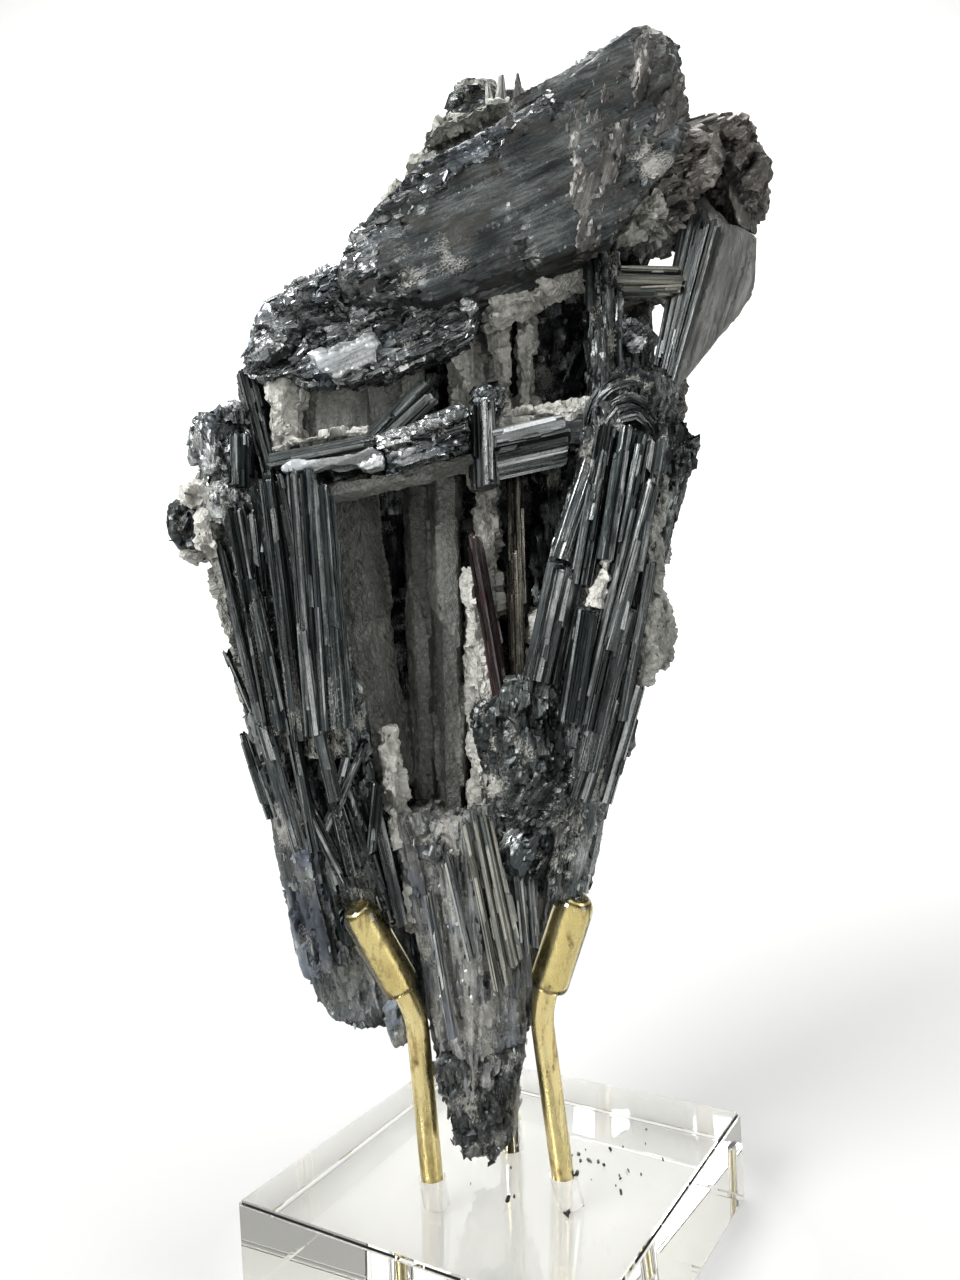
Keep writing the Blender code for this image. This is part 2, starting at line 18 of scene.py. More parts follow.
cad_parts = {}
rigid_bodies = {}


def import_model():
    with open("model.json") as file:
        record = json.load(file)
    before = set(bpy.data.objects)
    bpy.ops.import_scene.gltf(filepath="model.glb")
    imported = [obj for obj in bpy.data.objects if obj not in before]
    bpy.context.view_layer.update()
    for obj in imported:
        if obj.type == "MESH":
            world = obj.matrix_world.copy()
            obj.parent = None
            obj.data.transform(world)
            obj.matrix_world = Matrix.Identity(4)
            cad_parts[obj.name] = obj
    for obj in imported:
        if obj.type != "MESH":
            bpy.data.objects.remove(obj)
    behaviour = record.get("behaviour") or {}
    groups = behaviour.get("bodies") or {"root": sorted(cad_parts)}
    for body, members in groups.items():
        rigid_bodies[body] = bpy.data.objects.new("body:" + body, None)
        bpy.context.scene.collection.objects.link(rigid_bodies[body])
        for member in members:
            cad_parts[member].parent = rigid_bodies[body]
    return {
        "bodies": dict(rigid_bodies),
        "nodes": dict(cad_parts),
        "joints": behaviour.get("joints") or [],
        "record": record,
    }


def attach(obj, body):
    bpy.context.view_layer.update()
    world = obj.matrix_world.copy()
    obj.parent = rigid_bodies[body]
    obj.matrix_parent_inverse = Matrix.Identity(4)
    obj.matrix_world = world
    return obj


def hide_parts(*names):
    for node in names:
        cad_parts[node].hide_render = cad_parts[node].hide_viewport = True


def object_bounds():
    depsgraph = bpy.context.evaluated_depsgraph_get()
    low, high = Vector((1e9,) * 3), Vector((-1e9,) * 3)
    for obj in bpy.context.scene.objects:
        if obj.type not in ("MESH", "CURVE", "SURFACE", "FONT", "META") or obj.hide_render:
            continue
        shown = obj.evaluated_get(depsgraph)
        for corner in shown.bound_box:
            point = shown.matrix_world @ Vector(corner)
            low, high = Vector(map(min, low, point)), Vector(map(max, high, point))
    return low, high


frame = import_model()
CAD_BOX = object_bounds()

MM = 0.001
BOX_MARGIN = 0.01
SEED = 20

Section = namedtuple("Section", "height left right front back")
Blade = namedtuple("Blade", "name foot head width depth turn flare rough", defaults=(0, 1.0, 0.0))
Lump = namedtuple("Lump", "name centre radii")
Plate = namedtuple("Plate", "name front thickness outline")
Hull = namedtuple("Hull", "name along points")
Row = namedtuple("Row", "count first last foot_height head_height sink width depth")
Rod = namedtuple("Rod", "name foot elbow tip")
# What a broken-up skin has at each point, with the axes of the grain there and how hackly it is
Surface = namedtuple("Surface", "points normals faces grain tone relief coat axes rugged")

# Stand, as in the part
BLOCK_SIDE = 50.8
BLOCK_HEIGHT = 12.7
BLOCK_TURN = -31.6
GAP = 0.3
ROD_RADIUS = 1.5
ROD_SEAT = 2.0
BEND = 3.0
SLEEVE_RADIUS = 2.55
SLEEVE_LENGTH = 13.5
SLEEVE_CROWN = 1.3
# The looks' own edges: how far a rod reaches into its sleeve's crown, filed and polished edges, the
# sleeve's rounded lip as (inset, height), and the sides of round things
ROD_REACH = 0.7
ROD_EDGE = 0.2
BLOCK_EDGE = 0.5
HOLE_EDGE = 0.3
HOLE_PROUD = 2
SLEEVE_LIP = ((0.3, 0), (0.08, 0.1), (0, 0.35))
ROD_SIDES = 40
TURNED_SIDES = 48
ELBOW_STEPS = 8
DOME_STEPS = 12
RODS = (
    Rod("left", (-9.7, -4.9, 12.7), (-10.4, -7.5, 35.5), (-16.6, -11.5, 50.0)),
    Rod("right", (7.6, -6.1, 12.7), (5.7, -8.5, 35.5), (10.6, -12.0, 50.0)),
    Rod("back", (1.0, 10.2, 12.7), (0.8, 11.8, 35.5), (2.2, 18.5, 49.5)),
)

# Crystals, as in the part
CORE = (
    Section(19, -4, 0.5, -6, 0),
    Section(30, -6, 3, -7, 4),
    Section(44, -8, 6, -7, 13),
    Section(54, -13, 8, -6, 16),
    Section(64, -20, 12, 2, 17),
    Section(78, -25, 16, 4, 18),
    Section(98, -27, 19, 5, 19),
    Section(116, -24, 19, 4, 18),
    Section(128, -17, 19, 0, 16),
    Section(140, -8, 30, -5, 12),
    Section(152, 3, 31, -8, 8),
    Section(160, 19, 29, -9, 1),
)
CORE_SQUARENESS = 2.6
CORE_SIDES = 24
CORE_SINK = 0.3
LUMP_SQUARENESS = 0.8


CROWN = (
    Blade("crown_ledge", (-16, -5, 122), (16, -4, 133.5), 8, 13, 0, 1.0, 0.5),
    Blade("crown_low", (-13, -6, 128), (19, -6, 140), 9, 15, 8, 1.0, 0.5),
    Blade("crown_high", (-3, -4, 141.5), (29, -7, 153), 8.5, 14, 10, 1.0, 0.5),
    Blade("crown_rim", (6, -3, 149), (28, -6, 158), 7.5, 11, -8, 0.9, 0.5),
    Blade("crown_back_ledge", (-5.5, 2, 147), (13, 2, 156), 8, 9, 15, 1.0, 0.6),
    Blade("crown_back_root", (-6, 3, 138), (20, 4, 150), 12, 14, 0, 1.0, 0.6),
    Blade("shoulder_bar", (21, -9, 139), (36, -6, 148), 6, 9, 10, 1.0, 0.4),
    Lump("peak_knob", (27, -5, 157.5), (3.8, 4.5, 4)),
    Lump("peak_side", (26, -3, 150), (6, 7, 6)),
    Lump("back_knob", (3.8, 2, 157), (4, 4, 3.8)),
    Lump("shoulder", (34.5, -3, 146), (6, 6.5, 5)),
    Lump("shoulder_edge", (37.6, -3, 141.5), (4.4, 6, 5)),
    Lump("shoulder_root", (28, -4, 143.5), (6, 7, 5)),
    Lump("pitted_lump", (25.5, -7, 137), (4.8, 5, 4.2)),
    Lump("left_rough", (-22.5, -5, 123.5), (5, 6, 5)),
    Lump("left_rough_high", (-17.5, -6, 128), (5, 6, 4)),
    Lump("under_crown", (-6.5, -7, 125), (5, 6, 4.6)),
)

RIGHT_WING = (
    Blade("pillar", (18, -9, 111), (18.8, -8, 135), 5.5, 8, 10),
    Blade("rung", (18, -4, 127.5), (27, -4, 129.5), 3.5, 4, 10),
    Blade("gap_back", (23, 4, 110), (24, 4, 134), 9, 7, 0, 1.0),
    Blade("cap_column", (21.5, -6, 111), (21.5, -6, 122), 4.5, 6, 30),
    Plate("cap_facet", -12, 12, (
        (20, 114), (23, 101), (28.3, 103), (29.3, 107.5), (26.5, 112.5), (23, 116),
    )),
    Lump("cap", (21.5, -10, 112.5), (5.4, 5.5, 4.8)),
    Lump("wing_root", (24.5, -5, 114), (5, 6, 4)),
    Lump("bright_nub", (22, -7, 121), (3, 3.5, 3.2)),
)

RIGHT_BUNDLE = (
    Blade("right_first", (10.5, -11, 90), (16.5, -12, 109.5), 4.5, 7, 15),
    Blade("right_second", (13.5, -12, 82), (19.5, -13, 109), 4.5, 7, -10),
    Blade("right_third", (16, -11, 76), (22.5, -11, 107), 4.5, 8, 15),
    Blade("right_striped", (14, -12, 68), (24, -11, 102), 4, 7, -15),
    Blade("right_dark", (11, -14, 70), (14.5, -14.5, 87), 3.6, 5, 10),
    Blade("right_bright", (7.5, -12, 76), (12, -13, 92), 5.6, 5, -10, 1.1),
    Blade("right_drusy", (14.5, -14, 85), (16.8, -14, 97), 3.6, 4, 5, 0.8),
    Blade("right_edge", (22, -6, 90), (27, -7, 106), 4.5, 9, 10),
    Blade("right_low_inner", (9, -9, 50), (15, -10, 78), 6, 9, 10),
    Blade("right_low_outer", (10, -3, 50), (19, -4, 80), 7, 12, -10),
    Lump("right_druse", (22.5, -3, 84), (4, 7, 7.5)),
    Lump("right_waist", (21.5, -2, 95), (5, 8, 7)),
)

LEFT_BUNDLE = (
    Blade("left_needle_blade", (-27, -9, 73), (-31.5, -9, 98), 3, 7, 10),
    Blade("left_wide", (-22.5, -11, 70), (-29, -11, 102.5), 4.4, 7, -12),
    Blade("left_inner", (-20.5, -12, 70), (-25.5, -12, 105), 4.4, 8, 12),
    Blade("left_front", (-16.5, -12, 70), (-21, -13, 105), 4.8, 8, -10),
    Blade("left_sheet", (-28, -4, 70), (-32.5, -5, 96.5), 5, 9, 0),
    Blade("left_top_blade", (-25.5, -8, 106), (-28, -8, 119.5), 2.6, 6, 15),
    Blade("left_knob", (-32.4, -6, 103), (-31.2, -7, 114.5), 7, 9, 15, 0.85, 0.3),
    Lump("left_ball", (-35.6, -5, 100.3), (3.4, 4.5, 4.2)),
    Lump("left_shelf", (-30.5, -4, 104), (6, 7, 5)),
    Lump("left_waist", (-27, -1, 86), (5, 8, 9)),
)

UPPER_CAVITY = (
    Blade("facet_outer", (-24.5, -6, 104), (-25.3, -6, 120), 5.5, 7),
    Blade("facet_second", (-20.5, -4, 104), (-21.2, -4, 121), 4, 7, 10),
    Blade("facet_third", (-16.5, 0, 104), (-16.5, 0, 122), 8, 8, -8),
    Blade("facet_fourth", (-9, 0, 106), (-8, 0, 123), 7.5, 8, 8),
    Blade("lip", (3, -7, 126), (16, -5, 132), 5.5, 7, 10),
    Blade("column_left", (0, 0, 108), (0.5, 0, 127), 5.8, 8),
    Blade("column_middle", (4.6, -2, 110), (5, -2, 127), 3.4, 6, 15),
    Blade("column_right", (8.5, -1, 110), (9, -1, 128), 3, 6, -10),
)

CROSS_BAR = (
    Blade("shelf", (-23, -4, 107), (16, -4, 109.5), 5, 13),
    Blade("bright_bar", (-24, -13.5, 107), (-11, -13.5, 108.8), 2, 6, 5),
    Blade("pale_rung", (-21.5, -10, 109.4), (-12, -10, 110.6), 2, 5),
    Blade("broken_chunk", (-10.5, -12, 107), (0.5, -12, 110), 6.4, 8, 12),
    Blade("upright_stub", (2, -12.5, 102.5), (2.2, -12, 113.5), 2.8, 6, 25),
    Blade("drusy_ledge", (3.5, -6, 111), (17, -6, 112.5), 4, 8),
    Blade("slanted_rung", (-20.5, -10.5, 102.5), (1, -10, 106.5), 2.6, 5),
    Lump("stub_knob", (3, -11, 113.5), (2.2, 3, 2.2)),
)

CAVITY = (
    Blade("pale_ridge", (-0.5, -4, 56), (0.4, -4, 93), 4.4, 9, 10),
    Blade("pale_fragment", (-10.5, -7, 56), (-12, -9, 73), 3.2, 5, -10, 0.8),
    Blade("bronze_needle", (5, -8.5, 73), (5.8, -8.5, 105), 2.6, 3, 10),
    Blade("red_needle", (3.2, -9, 74), (0.4, -9.5, 97), 2, 2.4, 20),
    Blade("pale_lath_high", (2, -4, 86), (2, -4, 106), 4.2, 7, 10),
    Blade("corner_lath", (6, -6, 74), (8, -7, 87.5), 2.8, 5, 15),
    Blade("hollow_wall", (10, 0, 70), (12, 0, 110), 7, 9, 10),
)

LOWER = (
    Blade("wedge_back", (-1.5, -3, 18), (3, -2, 60), 7, 10, 15, 1.5),
    Blade("back_rest", (0, 6, 30), (2.5, 13.5, 62), 10, 9, 10, 1.2, 0.3),
    Blade("wedge_side", (-3.5, -4, 24), (-9, -5, 62), 5, 9, -20, 1.3),
    Blade("inner_dark_left", (-14, -8, 50), (-18, -10, 66.5), 3.2, 6, 10),
    Blade("inner_dark_right", (-12, -7, 48), (-15.5, -9, 67), 3, 6, -10),
    Blade("pale_inner_lath", (-10, -6, 46), (-12, -7.5, 65), 3, 6, 5),
    Blade("left_low_front", (-17, -6, 46), (-22, -8, 77), 7.5, 10, 10),
    Blade("left_low_outer", (-21, -3, 42), (-27, -5, 77), 8.5, 12, -12),
    Blade("lobe_back", (-16, 3, 32), (-18, 4, 64), 8, 9, 10, 1.3, 0.3),
    Lump("tip_knob", (-2, -5, 20.2), (3.6, 4, 4.6)),
    Lump("broken_high", (4.8, -8, 72), (6.4, 6, 6)),
    Lump("broken_middle", (6.5, -9, 65), (7, 6.5, 7)),
    Lump("right_low_bulge", (15.8, -3, 72), (4.6, 6, 6.5)),
    Lump("wedge_crown", (-4.5, -7, 58), (4.6, 5, 4.5)),
    Lump("left_low_root", (-26, -3, 70), (5, 7, 6)),
)


# Rows of blades on the back and the sides, as in the part
BACK_ROWS = (
    Row(6, 8, 172, 30, 78, 1.0, 9, 7),
    Row(7, 0, 180, 58, 104, 0.5, 10, 7),
    Row(7, 4, 172, 84, 128, 0.5, 10, 7),
    Row(5, 20, 165, 116, 150, 0.5, 10, 6),
)
BACK_SEED = 11
# The draws that the part makes from this seed before it comes to these rows
BACK_DRAWS = 3839
BACK_ROOT = 2.5

# How rough rock breaks up: flat or domed cells, their size across the grain and along it, and depth.
Layer = namedtuple("Layer", "kind across along depth")
HACKLE = (Layer("flat", 3.0, 5.5, 0.6), Layer("flat", 1.3, 2.4, 0.36), Layer("flat", 0.55, 0.9, 0.15))
SPLINTERED = (Layer("flat", 1.9, 22.0, 0.4), Layer("flat", 0.8, 6.0, 0.25), Layer("flat", 0.5, 1.3, 0.12))
FOIL = (Layer("flat", 2.7, 6.0, 0.5), Layer("flat", 1.05, 2.6, 0.3), Layer("flat", 0.5, 1.1, 0.1))
CHANNELLED = (Layer("flat", 0.9, 30.0, 0.14), Layer("flat", 0.45, 14.0, 0.06))
FINE = (Layer("flat", 2.8, 16.0, 0.34), Layer("flat", 1.0, 8.0, 0.22), Layer("flat", 0.5, 1.8, 0.13))
COATED = (Layer("flat", 5.0, 12.0, 0.32), Layer("dome", 1.3, 1.5, 0.16), Layer("dome", 0.6, 0.6, 0.1))
DRUSY = (Layer("flat", 3.0, 4.0, 0.7), Layer("dome", 1.05, 1.1, 0.34), Layer("dome", 0.55, 0.55, 0.16))
PITTED = (Layer("flat", 2.6, 4.4, 0.55), Layer("flat", 1.1, 2.0, 0.4), Layer("dome", 0.5, 0.7, 0.18))
RIPPLED = (Layer("flat", 3.0, 7.0, 0.26), Layer("flat", 1.1, 2.8, 0.2), Layer("flat", 0.5, 1.2, 0.1))
MIRROR = (Layer("flat", 3.6, 4.2, 0.16), Layer("flat", 1.1, 1.8, 0.07))


# ---------------------------------------------------------------- noise


def hashed(cell, salt):
    """A number from 0 to 1 for each whole-numbered cell."""
    i, j, k = (cell[..., n].astype(np.int64).astype(np.uint64) for n in range(3))
    mask = np.uint64(0xFFFFFFFF)
    h = (i * np.uint64(374761393) + j * np.uint64(668265263) + k * np.uint64(1274126177)) & mask
    h = (h + np.uint64(salt * 2654435761 % 4294967296)) & mask
    h = ((h ^ (h >> np.uint64(13))) * np.uint64(1103515245)) & mask
    h = ((h ^ (h >> np.uint64(16))) * np.uint64(2246822519)) & mask
    return ((h ^ (h >> np.uint64(15))) & np.uint64(0xFFFFFF)).astype(float) / 0xFFFFFF


def corners(low):
    return [np.array((i, j, k)) for i in range(low, 2) for j in range(low, 2) for k in range(low, 2)]


def soft_noise(points, salt):
    """Smooth noise from -1 to 1."""
    base = np.floor(points)
    part = points - base
    part = part * part * (3 - 2 * part)
    total = np.zeros(len(points))
    for corner in corners(0):
        weight = np.prod(np.where(corner, part, 1 - part), axis=1)
        total += weight * hashed(base + corner, salt)
    return total * 2 - 1


def facets(points, salt):
    """Cells with one flat tilted facet each: the facet's height, and the distance to its centre."""
    base = np.floor(points)
    nearest = np.full(len(points), 9.0)
    height = np.zeros(len(points))
    for corner in corners(-1):
        cell = base + corner
        away = points - cell - np.stack([hashed(cell, salt + n) for n in range(3)], axis=1)
        tilt = np.stack([hashed(cell, salt + 3 + n) for n in range(3)], axis=1) * 2 - 1
        tilt[:, 2] *= 0.35
        level = hashed(cell, salt + 6) * 2 - 1 + 1.1 * (tilt * away).sum(axis=1)
        distance = (away**2).sum(axis=1)
        closer = distance < nearest
        height[closer] = level[closer]
        nearest[closer] = distance[closer]
    return height, np.sqrt(nearest)


# ---------------------------------------------------------------- meshes


class Soup:
    """What one piece is made of: points, faces, and each point's place in its own crystal."""

    def __init__(self):
        self.points = []
        self.grain = []
        self.tone = []
        self.relief = []
        self.coat = []
        self.faces = []
        self.count = 0

    def add(self, points, faces, grain, tone, relief=0.7, coat=0.0):
        points = np.asarray(points, float)
        size = len(points)
        self.points.append(points)
        self.grain.append(np.asarray(grain, float))
        self.tone.append(np.broadcast_to(np.asarray(tone, float), size))
        self.relief.append(np.broadcast_to(np.asarray(relief, float), size))
        self.coat.append(np.broadcast_to(np.asarray(coat, float), size))
        for group in faces:
            self.faces.append(np.asarray(group, np.int64) + self.count)
        self.count += size


def placed(name, data):
    """A new object in the scene."""
    obj = bpy.data.objects.new(name, data)
    bpy.context.scene.collection.objects.link(obj)
    return obj


def evaluated_mesh(obj):
    """A copy of an object's mesh with its modifiers applied."""
    bpy.context.view_layer.update()
    graph = bpy.context.evaluated_depsgraph_get()
    return bpy.data.meshes.new_from_object(obj.evaluated_get(graph))


def read(items, key, size=1, kind=np.float32):
    """One value, or a row of them, for each of a mesh's items."""
    values = np.empty(len(items) * size, kind)
    items.foreach_get(key, values)
    return values.reshape(-1, size) if size > 1 else values


def shade(mesh, angle):
    """Smooth, but for the edges sharper than an angle in degrees."""
    mesh.shade_smooth()
    mesh.set_sharp_from_angle(angle=math.radians(angle))


def ring_quads(sides, rings):
    """The faces between rings of points that follow each other, one group for each pair."""
    around = np.arange(sides)
    after = (around + 1) % sides
    band = np.column_stack((around, after, after + sides, around + sides))
    return [band + sides * n for n in range(rings - 1)]


def mesh_of(name, soup, smooth=0, keep=1.0):
    """A mesh object in metres from a soup in millimetres, thinned to a share of its triangles."""
    low, high = (np.array(corner) / MM for corner in CAD_BOX)
    low, high = low + BOX_MARGIN, high - BOX_MARGIN
    points = np.clip(np.concatenate(soup.points), low, high) * MM
    loops = np.concatenate([group.reshape(-1) for group in soup.faces])
    sizes = np.concatenate([np.full(len(group), group.shape[1]) for group in soup.faces])
    mesh = bpy.data.meshes.new(name)
    mesh.vertices.add(len(points))
    mesh.vertices.foreach_set("co", points.astype(np.float32).ravel())
    mesh.loops.add(len(loops))
    mesh.loops.foreach_set("vertex_index", loops.astype(np.int32))
    mesh.polygons.add(len(sizes))
    mesh.polygons.foreach_set("loop_start", (np.cumsum(sizes) - sizes).astype(np.int32))
    mesh.update(calc_edges=True)
    mesh.validate()
    grain = mesh.attributes.new("grain", "FLOAT_VECTOR", "POINT")
    grain.data.foreach_set("vector", np.concatenate(soup.grain).astype(np.float32).ravel())
    for key in ("tone", "relief", "coat"):
        values = mesh.attributes.new(key, "FLOAT", "POINT")
        values.data.foreach_set("value", np.concatenate(getattr(soup, key)).astype(np.float32))
    obj = placed(name, mesh)
    if keep < 1:
        obj.modifiers.new("Thin", "DECIMATE").ratio = keep
        obj.data = evaluated_mesh(obj)
        obj.modifiers.clear()
        bpy.data.meshes.remove(mesh)
        mesh = obj.data
        mesh.name = name
        points = np.clip(read(mesh.vertices, "co", 3), low * MM, high * MM)
        mesh.vertices.foreach_set("co", points.astype(np.float32).ravel())
    if smooth:
        shade(mesh, smooth)
    else:
        mesh.shade_flat()
    return obj


def part_piece(obj, material, slot, *nodes):
    obj.data.materials.append(material)
    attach(obj, "root")
    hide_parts(*nodes)


def rock_piece(name, soup, material, smooth=0, keep=1.0):
    part_piece(mesh_of(name, soup, smooth, keep), material, "stibnite", "stibnite_cluster")


# ---------------------------------------------------------------- crystals


def unit(vector):
    return vector / np.linalg.norm(vector)


def blade_frame(blade):
    """The foot, the axes (across, through, along) as rows, and the length."""
    foot = np.array(blade.foot, float)
    reach = np.array(blade.head, float) - foot
    along = unit(reach)
    across = unit(np.cross((0, 1, 0), along))
    through = np.cross(along, across)
    c, s = math.cos(math.radians(blade.turn)), math.sin(math.radians(blade.turn))
    axes = np.array((across * c + through * s, through * c - across * s, along))
    return foot, axes, np.linalg.norm(reach)


SECTION = ((-0.5, -0.12), (-0.3, -0.5), (0.24, -0.5), (0.5, 0.06), (0.28, 0.5), (-0.26, 0.5))


def strips_round(blade, rng, pitch, groove):
    """The striated outline of a prism: two points a strip, with each strip's own height."""
    size = np.array((blade.width, blade.depth))
    section = [(np.array(p) + rng.uniform(-0.04, 0.04, 2)) * size for p in SECTION]
    points, outward, heights = [], [], []
    for a, b in zip(section, section[1:] + section[:1]):
        side = np.linalg.norm(b - a)
        count = max(1, round(side / pitch))
        widths = np.exp(rng.normal(0, 0.75, count))
        cuts = np.concatenate(([0], np.cumsum(widths) / widths.sum()))
        normal = np.array((b[1] - a[1], a[0] - b[0])) / side
        for low, high in zip(cuts, cuts[1:]):
            level = rng.normal(0, groove)
            if rng.random() < 0.14:
                level -= 2.5 * groove
            inset = min(0.12 * (high - low), 0.05 / side)
            tilt = np.clip(rng.normal(0, 0.24), -0.5, 0.5) * (high - low) * side
            points += [a + (b - a) * (low + inset), a + (b - a) * (high - inset)]
            outward += [normal, normal]
            heights += [level + tilt, level - tilt]
    return np.array(points), np.array(outward), np.array(heights)


def add_crystal(soup, blade, rng, pitch, groove, breaks, jag, tone, coated=-0.3):
    """A long prism with stepped striations, laths that end part-way, and a broken head."""
    foot, axes, length = blade_frame(blade)
    outline, outward, heights = strips_round(blade, rng, pitch, groove)
    count = len(outline)
    strip = np.arange(count) // 2
    strips = count // 2
    stations = [0.0]
    levels = [heights.copy()]
    for place in np.sort(rng.uniform(0.08, 0.95, breaks)):
        stations += [place, place + 0.12 / length]
        levels += [heights.copy(), None]
        first = rng.integers(strips)
        ended = (strip - first) % strips < rng.integers(2, max(3, strips // 3))
        heights = heights + np.where(ended, rng.uniform(-0.5, 0.12), 0)
        levels[-1] = heights.copy()
    stations.append(1.0)
    levels.append(heights.copy())
    slant = rng.uniform(-0.4, 0.4)
    ragged = np.repeat(np.cumsum(rng.normal(0, 0.35, strips)), 2)
    ragged = 0.5 * (ragged - np.linspace(0, ragged[-1], count))
    ragged = jag * (ragged + rng.uniform(-0.7, 0.3, strips)[strip])
    rings = []
    for place, level in zip(stations, levels):
        size = 1 + (blade.flare - 1) * place
        flat = outline * size + outward * level[:, None]
        z = np.full(count, place * length)
        if place == 1.0:
            z = z + ragged + slant * flat[:, 0] - 0.4
        rings.append(np.column_stack((flat, z)))
    top = rings[-1]
    middle = top.mean(axis=0)
    for size, spread in ((0.93, 0.05), (0.66, 0.25), (0.3, 0.3)):
        ring = middle + (top - middle) * (size, size, 0.7)
        ring[:, 2] += 0.25 + jag * spread * np.repeat(rng.uniform(-1, 0.8, strips), 2)
        rings.append(ring)
    local = np.concatenate(rings + [[middle + (0, 0, 0.2)], [[0, 0, 0]]])
    around = np.arange(count)
    after = (around + 1) % count
    last = count * (len(rings) - 1)
    tip = count * len(rings)
    fan = np.column_stack((around + last, after + last, np.full(count, tip)))
    base = np.column_stack((after, around, np.full(count, tip + 1)))
    # Painted highlight: about one strip in seven gets a much lighter tone, to look like a glint
    glint = np.where(rng.random(strips) < 0.15, 0.6, 0.0)
    shades = np.tile(np.repeat(rng.uniform(-0.3, 0.25, strips) + glint, 2), len(rings))
    shades = np.clip(tone + np.append(shades, (0, 0)), 0, 1)
    coat = 0.3 + 0.5 * soft_noise(local * (0.5, 0.5, 0.16) + rng.uniform(0, 90, 3), 31)
    faces = ring_quads(count, len(rings)) + [fan, base]
    soup.add(foot + local @ axes, faces, local + rng.uniform(0, 400, 3), shades, coat=coat + coated)


SHARD = np.array([(-1, -0.6), (0.7, -1), (1, 0.5), (-0.6, 1)])


def add_shard(soup, centre, axes, half, rng, tone):
    """A small four-sided splinter with slanted ends."""
    outline = SHARD * half[:2] * rng.uniform(0.7, 1.15, (4, 1))
    slant = rng.uniform(-0.9, 0.9, (2, 2))
    low = np.column_stack((outline, -half[2] + outline @ slant[0]))
    high = np.column_stack((outline * 0.85, half[2] + outline @ slant[1]))
    local = np.concatenate((low, high))
    around = np.arange(4)
    faces = ring_quads(4, 2) + [around[::-1][None], (around + 4)[None]]
    soup.add(centre + local @ axes, faces, local + rng.uniform(0, 400, 3), tone)


def tilted(axes, rng, along, sideways):
    """Axes turned by small random angles, in degrees: off their line, and about it."""
    turn = Matrix.Rotation(math.radians(rng.normal(0, sideways)), 3, Vector(axes[2]))
    off = Matrix.Rotation(math.radians(rng.normal(0, along)), 3, Vector(unit(rng.normal(0, 1, 3))))
    return axes @ np.array(off @ turn).T


def splinters(blade, rng, count):
    """A blade as a slimmer blade with others grown along it, of different lengths and depths."""
    foot, axes, length = blade_frame(blade)
    made = [blade._replace(width=blade.width * 0.86, depth=blade.depth * 0.86)]
    for n in range(count):
        width = blade.width * rng.uniform(0.22, 0.55)
        depth = blade.depth * rng.uniform(0.25, 0.5)
        side = (n + rng.uniform(0.1, 0.9)) / count - 0.5
        deep = rng.choice((-1, -1, 1)) * (0.5 * blade.depth - depth * rng.uniform(0.25, 0.5))
        shift = axes[0] * side * (blade.width - width * 0.6) + axes[1] * deep
        start = max(0, rng.uniform(-0.15, 0.35)) * length
        end = min(1.0, rng.uniform(0.68, 1.06)) * length
        low = foot + shift * (1 + (blade.flare - 1) * start / length) + axes[2] * start
        high = foot + shift * (1 + (blade.flare - 1) * end / length) + axes[2] * end
        high = high + axes[0] * rng.uniform(-0.4, 0.4) + axes[1] * rng.uniform(-0.3, 0.3)
        turn = blade.turn + rng.normal(0, 10)
        made.append(blade._replace(foot=low, head=high, width=width, depth=depth, turn=turn))
    return made


def add_laths(soup, blade, rng, count, proud=0.3, tone=0.5):
    """Thin laths that lie along a crystal's sides and end part-way."""
    foot, axes, length = blade_frame(blade)
    outline, outward, _ = strips_round(blade, rng, 0.5, 0.0)
    for _ in range(count):
        at = rng.integers(len(outline))
        start, end = np.sort(rng.uniform(-0.02, 0.99, 2))
        end = min(0.99, max(end, start + 0.12))
        normal = outward[at] @ axes[:2]
        side = np.cross(axes[2], normal)
        width, depth = rng.uniform(0.18, 0.55), rng.uniform(0.15, 0.4)
        place = (start + end) / 2
        size = 1 + (blade.flare - 1) * place
        centre = foot + (outline[at] * size) @ axes[:2] + axes[2] * place * length
        centre = centre + normal * (rng.uniform(-0.2, proud) - depth * 0.5)
        lath_axes = tilted(np.array((side, normal, axes[2])), rng, 0.8, 12)
        half = np.array((width, depth, (end - start) * length / 2))
        add_shard(soup, centre, lath_axes, half, rng, np.clip(tone + rng.uniform(-0.35, 0.45), 0, 1))


# ---------------------------------------------------------------- rough rock


def squared(k, power):
    return math.copysign(abs(k) ** power, k)


def core_at(height):
    for low, high in zip(CORE, CORE[1:]):
        if height <= high.height:
            part = max(0.0, (height - low.height) / (high.height - low.height))
            return [a + (b - a) * part for a, b in zip(low[1:], high[1:])]
    return list(CORE[-1][1:])


def core_point(height, degrees, sink=0.0):
    left, right, front, back = core_at(height)
    angle = math.radians(degrees)
    x = (left + right) / 2 + squared(math.cos(angle), 2 / CORE_SQUARENESS) * ((right - left) / 2 - sink)
    y = (front + back) / 2 + squared(math.sin(angle), 2 / CORE_SQUARENESS) * ((back - front) / 2 - sink)
    return Vector((x, y, height))


def bridge(bm, rings):
    """A closed shell over rings of points that follow each other."""
    rings = [[bm.verts.new(point) for point in ring] for ring in rings]
    count = len(rings[0])
    for low, high in zip(rings, rings[1:]):
        for i in range(count):
            j = (i + 1) % count
            bm.faces.new((low[i], low[j], high[j], high[i]))
    bm.faces.new(reversed(rings[0]))
    bm.faces.new(rings[-1])


def core_rings():
    step = 360 / CORE_SIDES
    return [[core_point(s.height, step * i, CORE_SINK) for i in range(CORE_SIDES)] for s in CORE]


def plate_rings(plate):
    outline = np.array(plate.outline)
    middle = np.mean(outline, axis=0)
    rings = []
    for depth, size in ((0, 0.95), (0.07, 1.0), (1, 1.0)):
        y = plate.front + depth * plate.thickness
        rings.append([(x, y, z) for x, z in middle + (outline - middle) * size])
    return rings


